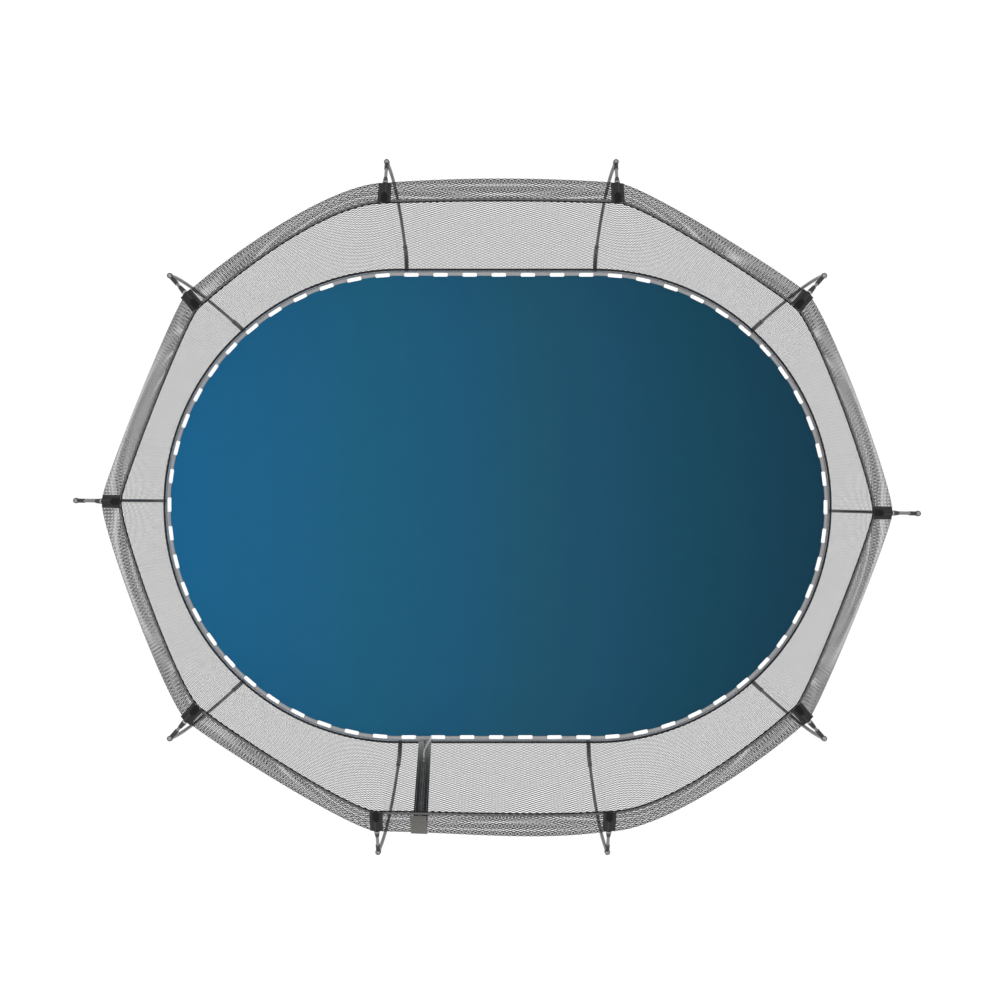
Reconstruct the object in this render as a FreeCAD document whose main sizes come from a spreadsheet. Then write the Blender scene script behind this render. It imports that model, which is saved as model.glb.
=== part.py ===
import FreeCAD, Part
import Sketcher
import math
import os
from FreeCAD import Placement, Rotation, Vector

# Springless oval trampoline: a steel ring on legs, composite rods that carry the mat, and a net
# enclosure held by bowed poles. Millimetres, +Z up, +X along the mat, origin on the ground at the centre.

doc = FreeCAD.newDocument("trampoline")
sheet = doc.addObject("Spreadsheet::Sheet", "Sizes")
sizes = {
    # jumping mat
    "mat_half_straight": 505, "mat_end_radius": 1225, "mat_top": 870, "mat_thickness": 4,
    "webbing_width": 21, "webbing_thickness": 2, "webbing_lip": 4,
    "hem_width": 13, "hem_height": 8,
    # cleats and rods
    "rod_count": 64, "rod_phase": 0.045, "cleat_length": 75, "cleat_width": 19, "cleat_height": 7,
    "cleat_inset": 20, "boss_radius": 8, "boss_length": 30, "rod_radius": 4.5, "rod_clearance": 0.5,
    # ring and legs
    "ring_inset": 420, "ring_height": 330, "rail_radius": 30, "tube_wall": 2, "socket_radius": 8,
    "socket_reach": 78, "socket_floor": 34, "clamp_length": 60, "clamp_wall": 4, "fit_gap": 0.8,
    "rail_gap": 2, "leg_radius": 21, "stub_radius": 26, "stub_length": 90, "leg_insert": 50,
    "base_height": 46, "pad_radius": 62, "pad_height": 30, "seat_gap": 0.3,
    # stations of the legs and poles: the clockwise shift of each kind along the edge
    "diagonal_angle": 47.6, "side_shift": 17, "diagonal_shift": 0, "end_shift": 26,
    # pole brackets
    "boss_width": 56, "boss_tall": 96, "boss_reach": 44, "plate_thickness": 6, "plate_width": 54,
    "plate_tall": 92, "bolt_spacing": 72, "bolt_radius": 4, "bolt_head": 8, "bolt_length": 22,
    "holder_length": 110, "holder_wall": 3, "holder_floor": 8,
    # poles
    "pole_radius": 8, "pole_tube_wall": 3, "pole_insert": 90, "pole_join_height": 750,
    "pole_corner": 150, "upper_radius": 7, "bow_radius": 5600,
    "side_bow_height": 2100, "diagonal_bow_height": 1800, "end_bow_height": 1950,
    "side_apex": 302, "diagonal_apex": 142, "end_apex": 125,
    "side_apex_height": 2410, "diagonal_apex_height": 2540, "end_apex_height": 2450,
    "side_fold": 200, "diagonal_fold": 48, "end_fold": 8,
    "side_top": 94, "diagonal_top": -56, "end_top": -100,
    "ferrule_radius": 12, "ferrule_length": 34, "ferrule_arm": 55, "tip_length": 34, "tip_radius": 12,
    "tip_ring_radius": 11, "tip_ring_length": 8,
    # net enclosure
    "net_offset": 3, "net_thickness": 3, "fold_height": 2475, "top_height": 2614,
    "side_carry": 150, "corner_carry": 112, "end_carry": 123, "next_end_carry": 71, "next_corner_carry": 242,
    "net_columns": 5, "net_rows": 6, "panel_gap": 2, "net_hole_border": 26, "top_hem_width": 14,
    "top_hem_thickness": 4, "piping_radius": 3, "pocket_width": 60, "pocket_depth": 24,
    "pocket_drop": 22, "side_pocket": 100, "diagonal_pocket": 72, "end_pocket": 80,
    # zip door
    "door_foot": -378, "door_head": -340, "tape_width": 29, "tape_thickness": 2, "coil_width": 7,
    "coil_height": 4, "zip_foot": 400, "zip_head": 1560, "slider_width": 15, "slider_length": 26,
    "slider_height": 8, "pull_width": 11, "pull_length": 34, "pull_thickness": 3, "cord_radius": 4,
    "patch_width": 72,
}
for row, (alias, value) in enumerate(sizes.items(), start=1):
    sheet.set(f"A{row}", alias)
    sheet.set(f"B{row}", str(value))
    sheet.setAlias(f"B{row}", alias)
doc.recompute()


def size(alias):
    return float(getattr(sheet, alias))


def made(kind, name, placement=None, **bindings):
    """An object of the document with its sizes bound to the sheet."""
    thing = doc.addObject(kind, name)
    for prop, expression in bindings.items():
        thing.setExpression(prop, expression)
    if placement is not None:
        thing.Placement = placement
    return thing


def facing(start, direction):
    """A placement at start whose Z axis points along direction."""
    return Placement(start, Rotation(Vector(0, 0, 1), direction))


def rod_between(name, start, end, radius):
    """A cylinder from start to end with its radius bound to the sheet."""
    rod = made("Part::Cylinder", name, facing(start, end - start), Radius=radius)
    rod.Height = (end - start).Length
    return rod


def cut(name, base, tool):
    result = doc.addObject("Part::Cut", name)
    result.Base = base
    result.Tool = tool
    return result


def fused(name, shapes):
    result = doc.addObject("Part::MultiFuse", name)
    result.Shapes = shapes
    return result


def compound(name, links):
    result = doc.addObject("Part::Compound", name)
    result.Links = links
    return result


def feature(name, shape):
    result = doc.addObject("Part::Feature", name)
    result.Shape = shape
    return result


def copies(name, master, placements):
    """The same solid at each placement, as one group of separate solids."""
    doc.recompute()
    solid = master.Shape
    return feature(name, Part.makeCompound([solid.transformed(place.Matrix) for place in placements]))


nodes = {}


def node(label, thing):
    """Marks an object as a sub-part: its label names its file."""
    thing.Label = label
    nodes[label] = thing
    return thing


# ---- plan of the oval: stations for the poles and the legs ----

half_straight = size("mat_half_straight")
mat_radius = size("mat_end_radius")
mat_top = size("mat_top")
diagonal = size("diagonal_angle")
turns = [(0, "side"), (90 - diagonal, "diagonal"), (90, "end"), (90 + diagonal, "diagonal"), (180, "side")]
# end circle it belongs to, direction outwards in degrees, kind; clockwise from the back right
rail_ends = [(end, 90 * end - turned, kind) for end in (1, -1) for turned, kind in turns]
stations = [(end, angle - math.degrees(size(kind + "_shift") / mat_radius), kind)
            for end, angle, kind in rail_ends]


def in_pairs(items):
    return [(items[index], items[(index + 1) % len(items)]) for index in range(len(items))]


rail_bays, bays = in_pairs(rail_ends), in_pairs(stations)


def outwards(angle):
    return Vector(math.cos(math.radians(angle)), math.sin(math.radians(angle)), 0)


def facing_angle(end, angle):
    """The outward direction of a station, which may lie past the end of its arc on the straight."""
    return max(angle, 90 * end - 180)


def plan_point(end, angle, reach, height=0):
    """The point reach outside the mat edge; past the end of the arc it runs on along the straight."""
    turn = facing_angle(end, angle)
    ahead = outwards(turn - 90) * (math.radians(turn - angle) * mat_radius)
    return Vector(end * half_straight, 0, height) + outwards(turn) * (mat_radius + reach) + ahead


def at_station(station, reach=0, height=0):
    """Local X points outwards, local Y along the edge, local Z up, from the edge of the mat."""
    end, angle, _ = station
    turn = Rotation(Vector(0, 0, 1), facing_angle(end, angle))
    return Placement(plan_point(end, angle, reach, height), turn)


def edge_place(length, reach, height):
    """Point and outward direction at a length along the edge, clockwise from the middle of the back."""
    quarter = half_straight + mat_radius * math.pi / 2
    length = length % (4 * quarter)
    side = 1 if length < 2 * quarter else -1
    along = length if side == 1 else length - 2 * quarter
    if along < half_straight:
        spot, angle = Vector(along, mat_radius + reach, height), 90
    elif along > 2 * quarter - half_straight:
        spot, angle = Vector(2 * quarter - along, -mat_radius - reach, height), -90
    else:
        angle = 90 - math.degrees((along - half_straight) / mat_radius)
        spot = plan_point(1, angle, reach, height)
    if side == -1:
        spot, angle = Vector(-spot.x, -spot.y, spot.z), angle + 180
    return spot, angle


def oval_body(name, outer, inner, low, thickness):
    """A PartDesign body: a padded oval whose half width is bound to the sheet, with an oval hole."""
    body = doc.addObject("PartDesign::Body", name)
    plane = [f for f in body.Origin.OriginFeatures if f.Role == "XY_Plane"][0]
    sketch = body.newObject("Sketcher::SketchObject", name + "_outline")
    sketch.AttachmentSupport = (plane, "")
    sketch.MapMode = "FlatFace"
    for bound in [outer] if inner is None else [outer, inner]:
        add_oval(sketch, bound)
    pad = body.newObject("PartDesign::Pad", name + "_pad")
    pad.Profile = sketch
    pad.setExpression("Length", thickness)
    body.setExpression("Placement.Base.z", low)
    return body


def add_oval(sketch, radius):
    """Two straights and two end arcs, held by constraints that read the sheet."""
    first = sketch.GeometryCount
    straight, wide = half_straight, mat_radius
    sketch.addGeometry([
        Part.LineSegment(Vector(-straight, wide, 0), Vector(straight, wide, 0)),
        Part.ArcOfCircle(Part.Circle(Vector(straight, 0, 0), Vector(0, 0, 1), wide), -math.pi / 2,
                         math.pi / 2),
        Part.LineSegment(Vector(straight, -wide, 0), Vector(-straight, -wide, 0)),
        Part.ArcOfCircle(Part.Circle(Vector(-straight, 0, 0), Vector(0, 0, 1), wide), math.pi / 2,
                         3 * math.pi / 2),
    ], False)
    top, right, low, left = range(first, first + 4)
    sketch.addConstraint(Sketcher.Constraint("Tangent", top, 2, right, 2))
    sketch.addConstraint(Sketcher.Constraint("Tangent", right, 1, low, 1))
    sketch.addConstraint(Sketcher.Constraint("Tangent", low, 2, left, 2))
    sketch.addConstraint(Sketcher.Constraint("Tangent", left, 1, top, 1))
    sketch.addConstraint(Sketcher.Constraint("Horizontal", top))
    sketch.addConstraint(Sketcher.Constraint("Symmetric", right, 3, left, 3, -1, 1))
    reach = sketch.addConstraint(Sketcher.Constraint("Radius", right, wide))
    sketch.setExpression(f"Constraints[{reach}]", radius)
    run = sketch.addConstraint(Sketcher.Constraint("DistanceX", top, 1, top, 2, 2 * straight))
    sketch.setExpression(f"Constraints[{run}]", "2 * Sizes.mat_half_straight")


# ---- jumping mat with its edge webbing and the hem of the net ----

node("jumping_mat", oval_body("Mat", "Sizes.mat_end_radius", None,
                              "Sizes.mat_top - Sizes.mat_thickness", "Sizes.mat_thickness"))
webbing = oval_body("Edge_webbing", "Sizes.mat_end_radius - Sizes.webbing_lip",
                    "Sizes.mat_end_radius - Sizes.webbing_lip - Sizes.webbing_width",
                    "Sizes.mat_top", "Sizes.webbing_thickness")
node("mat_edge_webbing", webbing)
net_foot_hem = oval_body("Foot_hem", "Sizes.mat_end_radius + Sizes.hem_width + Sizes.seat_gap",
                         "Sizes.mat_end_radius + Sizes.seat_gap",
                         "Sizes.mat_top + Sizes.mat_thickness - Sizes.hem_height", "Sizes.hem_height")
node("net_foot_hem", net_foot_hem)


# ---- steel ring: rails with a welded socket for each rod, and the rods ----

ring_radius = mat_radius - size("ring_inset")
ring_height = size("ring_height")
half_way = 2 * half_straight + math.pi * mat_radius
rod_pitch = 2 * half_way / size("rod_count")
rail_end_angle = math.degrees(size("rail_gap") / 2 / ring_radius)
socket_margin = size("clamp_length") / 2 + size("socket_radius") + size("fit_gap")


def edge_length(station):
    """How far a station lies along the mat edge, clockwise from the middle of the back."""
    end, angle, _ = station
    start = half_straight if end == 1 else half_way + half_straight
    return start + mat_radius * math.radians(90 * end - angle)


def ring_point(bay, share):
    """The point at a share of the ring's centre line between the clamps of a bay."""
    first, second = bay
    if first[0] != second[0]:
        run = half_straight - socket_margin
        return Vector(first[0] * run * (1 - 2 * share), math.copysign(ring_radius, -first[0]), ring_height)
    margin = math.degrees(socket_margin / ring_radius)
    angle = first[1] - margin - (first[1] - second[1] - 2 * margin) * share
    return Vector(first[0] * half_straight, 0, ring_height) + outwards(angle) * ring_radius


def rail(name, bay, radius):
    """One tube of the ring between two stations, solid, with its radius bound to the sheet."""
    first, second = bay
    if first[0] != second[0]:
        side = math.copysign(ring_radius, -first[0])
        start = Vector(-half_straight + size("rail_gap") / 2, side, ring_height)
        tube = made("Part::Cylinder", name, facing(start, Vector(1, 0, 0)), Radius=radius)
        tube.setExpression("Height", "2 * Sizes.mat_half_straight - Sizes.rail_gap")
        return tube
    centre = Vector(first[0] * half_straight, 0, ring_height)
    turn = Rotation(Vector(0, 0, 1), second[1] + rail_end_angle)
    tube = made("Part::Torus", name, Placement(centre, turn), Radius2=radius)
    tube.setExpression("Radius1", "Sizes.mat_end_radius - Sizes.ring_inset")
    tube.Angle3 = first[1] - second[1] - 2 * rail_end_angle
    return tube


rod_tops, rails, rods = [], [], []
for number, bay in enumerate(bays):
    low, high = edge_length(bay[0]), edge_length(bay[1])
    if high < low:
        low -= 2 * half_way
    count = int(size("rod_count"))
    spots = [(index + size("rod_phase")) * rod_pitch for index in range(-count, count)]
    spots = [spot for spot in spots if low < spot < high]
    solids = [rail(f"Rail_{number}", rail_bays[number], "Sizes.rail_radius")]
    bores = [rail(f"Rail_bore_{number}", rail_bays[number], "Sizes.rail_radius - Sizes.tube_wall")]
    for index, spot in enumerate(spots):
        tag = f"{number}_{index}"
        foot = ring_point(bay, (index + 0.5) / len(spots))
        top, angle = edge_place(spot, -size("cleat_inset"), 0)
        # the rod's tip socket hangs just under the mat, so a leaning one stays below it
        head = Vector(top.x, top.y, mat_top - size("mat_thickness") - size("seat_gap"))
        lean = (head - foot).normalize()
        head = head - lean * (size("boss_radius") * math.hypot(lean.x, lean.y) / lean.z)
        rod_tops.append((head, lean))
        solids.append(rod_between(f"Socket_{tag}", foot + lean * size("rail_radius") * 0.8,
                                  foot + lean * size("socket_reach"), "Sizes.socket_radius"))
        bores.append(rod_between(f"Socket_bore_{tag}", foot + lean * size("socket_floor"),
                                 foot + lean * (size("socket_reach") + 1),
                                 "Sizes.rod_radius + Sizes.rod_clearance"))
        rod_foot = foot + lean * (size("socket_floor") + size("seat_gap"))
        rod_head = head - lean * (size("boss_radius") / 2 + size("seat_gap"))
        rods.append(rod_between(f"Rod_{tag}", rod_foot, rod_head, "Sizes.rod_radius"))
    rails.append(cut(f"Rail_welded_{number}", fused(f"Rail_solid_{number}", solids),
                     fused(f"Rail_hollow_{number}", bores)))
node("side_rails", compound("Side_rails", [rails[4], rails[9]]))
node("corner_rails", compound("Corner_rails", [rails[index] for index in (0, 3, 5, 8)]))
node("end_rails", compound("End_rails", [rails[index] for index in (1, 2, 6, 7)]))
node("mat_rods", compound("Mat_rods", rods))

# tip sockets under the mat and the cleats that clamp its edge from above
tip_solid = made("Part::Cylinder", "Tip_solid", Radius="Sizes.boss_radius", Height="Sizes.boss_length")
tip_bore = made("Part::Cylinder", "Tip_bore", Radius="Sizes.rod_radius + Sizes.rod_clearance",
                Height="Sizes.boss_length - Sizes.boss_radius / 2")
tip = cut("Tip", tip_solid, tip_bore)
node("rod_tips", copies("Rod_tips", tip, [facing(head - lean * size("boss_length"), lean)
                                          for head, lean in rod_tops]))
cleat_block = made("Part::Box", "Cleat_block", Length="Sizes.cleat_width", Width="Sizes.cleat_length",
                   Height="Sizes.cleat_height")
doc.recompute()
cleat = doc.addObject("Part::Fillet", "Cleat")
cleat.Base = cleat_block
uprights = [number for number, edge in enumerate(cleat_block.Shape.Edges, start=1)
            if abs(edge.Vertexes[0].Z - edge.Vertexes[1].Z) > 1]
cleat.Edges = [(number, size("cleat_width") * 0.3, size("cleat_width") * 0.3) for number in uprights]
cleat_places = []
for index in range(int(size("rod_count"))):
    spot, angle = edge_place((index + size("rod_phase")) * rod_pitch, -size("cleat_inset"),
                             mat_top + size("webbing_thickness"))
    middle = Vector(-size("cleat_width") / 2, -size("cleat_length") / 2, 0)
    cleat_places.append(Placement(spot, Rotation(Vector(0, 0, 1), angle)) * Placement(middle, Rotation()))
node("rod_cleats", copies("Rod_cleats", cleat, cleat_places))


# ---- legs: ring clamps, uprights, base tubes, base tees and foot pads ----

def in_station(station, x, z, direction=None):
    """A placement in a station's own frame: x outwards from the ring's centre line, z from the ground."""
    turn = Rotation() if direction is None else Rotation(Vector(0, 0, 1), direction)
    return at_station(station, -size("ring_inset")) * Placement(Vector(x, 0, z), turn)


def tee(name, run_radius, stub_direction, boss):
    """A cast tee in a station's frame: a sleeve along the run, a stub for the upright, maybe a flat boss."""
    sideways = Rotation(Vector(1, 0, 0), 90)
    stub_turn = Rotation(Vector(1, 0, 0), 0 if stub_direction > 0 else 180)
    half = size("clamp_length") / 2
    run = made("Part::Cylinder", name + "_run", Placement(Vector(0, half, 0), sideways),
               Radius=f"{run_radius} + Sizes.fit_gap + Sizes.clamp_wall", Height="Sizes.clamp_length")
    stub = made("Part::Cylinder", name + "_stub", Placement(Vector(), stub_turn),
                Radius="Sizes.stub_radius", Height="Sizes.stub_length")
    solids = [run, stub]
    run_bore = made("Part::Cylinder", name + "_run_bore", Placement(Vector(0, half + 1, 0), sideways),
                    Radius=f"{run_radius} + Sizes.fit_gap", Height="Sizes.clamp_length + 2")
    stub_bore = made("Part::Cylinder", name + "_stub_bore", None,
                     Radius="Sizes.leg_radius + Sizes.seat_gap", Height="Sizes.leg_insert + 1")
    lift = (size("stub_length") - size("leg_insert")) * (1 if stub_direction > 0 else -1)
    stub_bore.Placement = Placement(Vector(0, 0, lift), stub_turn)
    bores = [run_bore, stub_bore]
    if boss:
        block = made("Part::Box", name + "_boss", Length="Sizes.boss_reach", Width="Sizes.boss_width",
                     Height="Sizes.boss_tall")
        block.Placement.Base = Vector(0, -size("boss_width") / 2, -size("boss_tall") / 2)
        solids.append(block)
        for side in (-1, 1):
            hole = made("Part::Cylinder", f"{name}_bolt_hole_{side + 1}",
                        facing(Vector(size("boss_reach") + 1, 0, side * size("bolt_spacing") / 2),
                               Vector(-1, 0, 0)), Radius="Sizes.bolt_radius + Sizes.seat_gap")
            hole.setExpression("Height", "Sizes.bolt_length - Sizes.plate_thickness + 2")
            bores.append(hole)
    return cut(name, fused(name + "_solid", solids), fused(name + "_hollow", bores))


base_height = size("base_height")
ring_tee = tee("Ring_tee", "Sizes.rail_radius", -1, True)
base_tee = tee("Base_tee", "Sizes.leg_radius", 1, False)
node("ring_clamps", copies("Ring_clamps", ring_tee, [in_station(s, 0, ring_height) for s in stations]))
node("base_tees", copies("Base_tees", base_tee, [in_station(s, 0, base_height) for s in stations]))

leg_low = base_height + size("stub_length") - size("leg_insert") + size("seat_gap")
leg_high = ring_height - size("stub_length") + size("leg_insert") - size("seat_gap")
leg_outer = made("Part::Cylinder", "Leg_outer", Radius="Sizes.leg_radius")
leg_inner = made("Part::Cylinder", "Leg_inner", Radius="Sizes.leg_radius - Sizes.tube_wall")
for tube in (leg_outer, leg_inner):
    tube.Height = leg_high - leg_low
leg = cut("Leg", leg_outer, leg_inner)
node("leg_uprights", copies("Leg_uprights", leg, [in_station(s, 0, leg_low) for s in stations]))


def base_tube(number, bay):
    """A base tube on the ground between two stations, with its ends inside the tees."""
    first, second = bay
    parts = []
    for name, radius in (("Base_outer", "Sizes.leg_radius"),
                         ("Base_inner", "Sizes.leg_radius - Sizes.tube_wall")):
        if first[0] != second[0]:
            side = math.copysign(ring_radius, -first[0])
            start = Vector(-half_straight + size("rail_gap") / 2, side, base_height)
            tube = made("Part::Cylinder", f"{name}_{number}", facing(start, Vector(1, 0, 0)), Radius=radius)
            tube.setExpression("Height", "2 * Sizes.mat_half_straight - Sizes.rail_gap")
        else:
            turn = Rotation(Vector(0, 0, 1), second[1] + rail_end_angle)
            centre = Vector(first[0] * half_straight, 0, base_height)
            tube = made("Part::Torus", f"{name}_{number}", Placement(centre, turn), Radius2=radius)
            tube.setExpression("Radius1", "Sizes.mat_end_radius - Sizes.ring_inset")
            tube.Angle3 = first[1] - second[1] - 2 * rail_end_angle
        parts.append(tube)
    return cut(f"Base_tube_{number}", *parts)


for label, numbers in (("side_base_tubes", (4, 9)), ("end_base_tubes", (1, 2, 6, 7))):
    node(label, compound(label.capitalize(), [base_tube(number, rail_bays[number]) for number in numbers]))

pad_disc = made("Part::Cone", "Pad_disc", Radius1="Sizes.pad_radius", Height="Sizes.pad_height")
pad_disc.setExpression("Radius2", "Sizes.pad_radius - Sizes.pad_height / 3")
pad_seat = made("Part::Cylinder", "Pad_seat",
                Radius="Sizes.leg_radius + Sizes.fit_gap + Sizes.clamp_wall + Sizes.seat_gap")
pad_seat.setExpression("Height", "4 * Sizes.pad_radius")
pad_seat.Placement = Placement(Vector(0, 2 * size("pad_radius"), base_height), Rotation(Vector(1, 0, 0), 90))
pad = cut("Pad", pad_disc, pad_seat)
node("foot_pads", copies("Foot_pads", pad, [in_station(s, 0, 0) for s in stations]))


# ---- net poles: brackets on the ring clamps, bent lower tubes, bowed poles, ferrules, upper rods ----

kinds = ("side", "diagonal", "end")


def flat(vector):
    """Turns a direction in a station's upright plane by a right angle, upwards and outwards."""
    return Vector(vector.z, 0, -vector.x)


def pole_line(kind):
    """The named points and directions of one kind of pole, in its station's frame from the mat edge."""
    line = {}
    fold = Vector(size(kind + "_fold"), 0, size("fold_height"))
    top = Vector(size(kind + "_top"), 0, size("top_height"))
    line["slope"] = (top - fold).normalize()
    line["band"] = size("net_thickness") * line["slope"].z + size("seat_gap")
    line["apex"] = Vector(size(kind + "_apex"), 0, size(kind + "_apex_height"))
    # the upper rod rises from the apex to its pocket, whose inner edge rests on the band near its top
    seat = top - line["slope"] * size("pocket_drop") + flat(line["slope"]) * line["band"] - line["apex"]
    angle = math.atan2(seat.z, -seat.x) + math.asin(size("pocket_depth") / 2 / seat.Length)
    line["rise"] = Vector(-math.cos(angle), 0, math.sin(angle))
    line["pocket"] = size(kind + "_pocket")
    line["mouth"] = line["apex"] + line["rise"] * (seat.dot(line["rise"]) - line["pocket"])
    # the bow is an arc that reaches furthest out at a set height and passes through the apex
    bow = size("bow_radius")
    lift = line["apex"].z - size(kind + "_bow_height")
    line["centre"] = Vector(line["apex"].x - math.sqrt(bow * bow - lift * lift), 0,
                            size(kind + "_bow_height"))
    drop = line["centre"].z - size("pole_join_height")
    line["join"] = Vector(line["centre"].x + math.sqrt(bow * bow - drop * drop), 0, size("pole_join_height"))
    line["half"] = line["centre"] + (line["join"] + line["apex"] - line["centre"] * 2).normalize() * bow
    line["lean"] = (flat(line["join"] - line["centre"]) * -1).normalize()
    line["tip"] = (flat(line["apex"] - line["centre"]) * -1).normalize()
    line["corner"] = line["join"] - line["lean"] * size("pole_corner")
    line["plate"] = Vector(-size("ring_inset") + size("boss_reach") + size("plate_thickness"), 0,
                           ring_height)
    line["lower"] = (line["corner"] - line["plate"]).normalize()
    return line


lines = {kind: pole_line(kind) for kind in kinds}


def on_poles(name, masters, place=None):
    """A master solid for each kind of pole, copied to the stations of that kind."""
    doc.recompute()
    solids = []
    for station in stations:
        spot = at_station(station)
        if place is not None:
            spot = spot * place(lines[station[2]])
        solids.append(masters[station[2]].Shape.transformed(spot.Matrix))
    return feature(name, Part.makeCompound(solids))


def swept(name, path, radius):
    """A round bar along a path of lines and arcs."""
    spine = feature(name + "_path", path)
    start = path.OrderedVertexes[0].Point
    direction = path.OrderedEdges[0].tangentAt(path.OrderedEdges[0].FirstParameter)
    ring = made("Part::Circle", name + "_ring", facing(start, direction), Radius=radius)
    doc.recompute()
    sweep = doc.addObject("Part::Sweep", name)
    sweep.Sections = [ring]
    sweep.Spine = (spine, [f"Edge{number + 1}" for number in range(len(path.Edges))])
    sweep.Solid = True
    sweep.Frenet = False
    return sweep


def lower_path(line, run_out):
    """Straight out of the bracket, round a bend, straight up to the pole; run_out lengthens both ends."""
    reach = size("pole_corner") - size("pole_insert")
    before, after = line["corner"] - line["lower"] * reach, line["corner"] + line["lean"] * reach
    turn = line["lower"].getAngle(line["lean"])
    radius = reach / math.tan(turn / 2)
    towards = (line["lean"] - line["lower"]).normalize()
    centre = line["corner"] + towards * (radius / math.cos(turn / 2))
    middle = centre - towards * radius
    start = line["plate"] + line["lower"] * (size("holder_floor") + size("seat_gap") - run_out)
    return Part.Wire([
        Part.LineSegment(start, before).toShape(),
        Part.Arc(before, middle, after).toShape(),
        Part.LineSegment(after, line["join"] + line["lean"] * run_out).toShape(),
    ])


lower_tubes, bows, upper_rods, ferrules, brackets = {}, {}, {}, {}, {}
for kind, line in lines.items():
    tag = kind.capitalize()
    solid = swept(f"{tag}_lower_solid", lower_path(line, 0),
                  "Sizes.pole_radius + Sizes.rod_clearance + Sizes.pole_tube_wall")
    hollow = swept(f"{tag}_lower_bore", lower_path(line, 1), "Sizes.pole_radius + Sizes.rod_clearance")
    lower_tubes[kind] = cut(f"{tag}_lower_tube", solid, hollow)

    foot = line["join"] - line["lean"] * (size("pole_insert") - size("seat_gap"))
    half_ferrule = line["tip"] * (size("ferrule_length") / 2)
    bow_path = Part.Wire([Part.LineSegment(foot, line["join"]).toShape(),
                          Part.Arc(line["join"], line["half"], line["apex"]).toShape(),
                          Part.LineSegment(line["apex"], line["apex"] + half_ferrule).toShape()])
    bows[kind] = swept(f"{tag}_bow", bow_path, "Sizes.pole_radius")

    # ferrule: a collar on the pole's top end with an arm for the upper rod
    lift = line["tip"]
    inset = (size("pole_radius") + size("pole_tube_wall") + size("upper_radius") * line["rise"].z)
    line["rod_start"] = line["apex"] + line["rise"] * (inset / abs(line["rise"].x))
    arm_end = line["apex"] + line["rise"] * size("ferrule_arm")
    collar = rod_between(f"{tag}_collar", line["apex"] - half_ferrule, line["apex"] + half_ferrule,
                         "Sizes.ferrule_radius")
    arm = rod_between(f"{tag}_arm", line["apex"], arm_end,
                      "Sizes.upper_radius + Sizes.seat_gap + Sizes.tube_wall")
    collar_bore = rod_between(f"{tag}_collar_bore", line["apex"] - half_ferrule - lift,
                              line["apex"] + half_ferrule + lift, "Sizes.pole_radius + Sizes.seat_gap")
    arm_bore = rod_between(f"{tag}_arm_bore", line["rod_start"] - line["rise"] * size("seat_gap"),
                           arm_end + line["rise"], "Sizes.upper_radius + Sizes.seat_gap")
    ferrules[kind] = cut(f"{tag}_ferrule", fused(f"{tag}_ferrule_solid", [collar, arm]),
                         fused(f"{tag}_ferrule_hollow", [collar_bore, arm_bore]))
    rod_end = line["mouth"] + line["rise"] * (line["pocket"] * 0.8)
    upper_rods[kind] = rod_between(f"{tag}_upper_rod", line["rod_start"], rod_end, "Sizes.upper_radius")

    # bracket: a plate on the clamp's boss with a slanted holder for the lower tube
    plate = made("Part::Box", f"{tag}_plate", Length="Sizes.plate_thickness", Width="Sizes.plate_width",
                 Height="Sizes.plate_tall")
    plate.Placement.Base = Vector(-size("ring_inset") + size("boss_reach"), -size("plate_width") / 2,
                                  ring_height - size("plate_tall") / 2)
    holder_radius = "Sizes.pole_radius + 2 * Sizes.rod_clearance + Sizes.pole_tube_wall + Sizes.holder_wall"
    holder = rod_between(f"{tag}_holder", line["plate"] - line["lower"] * (size("plate_thickness") / 2),
                         line["plate"] + line["lower"] * size("holder_length"), holder_radius)
    holder_bore = rod_between(f"{tag}_holder_bore", line["plate"] + line["lower"] * size("holder_floor"),
                              line["plate"] + line["lower"] * (size("holder_length") + 1),
                              "Sizes.pole_radius + 2 * Sizes.rod_clearance + Sizes.pole_tube_wall")
    behind = made("Part::Box", f"{tag}_plate_back", Length="Sizes.boss_reach", Width="Sizes.plate_width",
                  Height="Sizes.plate_tall")
    behind.Placement.Base = plate.Placement.Base - Vector(size("boss_reach"), 0, 0)
    holes = [holder_bore, behind]
    for side in (-1, 1):
        start = Vector(-size("ring_inset") + size("boss_reach") - 1, 0,
                       ring_height + side * size("bolt_spacing") / 2)
        hole = made("Part::Cylinder", f"{tag}_plate_hole_{side + 1}", facing(start, Vector(1, 0, 0)),
                    Radius="Sizes.bolt_radius + Sizes.seat_gap")
        hole.setExpression("Height", "Sizes.plate_thickness + 2")
        holes.append(hole)
    brackets[kind] = cut(f"{tag}_bracket", fused(f"{tag}_bracket_solid", [plate, holder]),
                         fused(f"{tag}_bracket_hollow", holes))

node("pole_brackets", on_poles("Pole_brackets", brackets))
node("pole_lower_tubes", on_poles("Pole_lower_tubes", lower_tubes))
node("net_poles", on_poles("Net_poles", bows))
node("pole_ferrules", on_poles("Pole_ferrules", ferrules))
node("pole_upper_rods", on_poles("Pole_upper_rods", upper_rods))

bolt_head = made("Part::Cylinder", "Bolt_head", Radius="Sizes.bolt_head", Height="Sizes.bolt_head * 0.7")
bolt_shank = made("Part::Cylinder", "Bolt_shank", Placement(Vector(), Rotation(Vector(1, 0, 0), 180)),
                  Radius="Sizes.bolt_radius", Height="Sizes.bolt_length")
bolt = fused("Bolt", [bolt_head, bolt_shank])
bolt_reach = size("boss_reach") + size("plate_thickness")
node("bracket_bolts", copies("Bracket_bolts", bolt, [
    in_station(s, bolt_reach, ring_height + side * size("bolt_spacing") / 2, Vector(1, 0, 0))
    for s in stations for side in (-1, 1)]))


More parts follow.
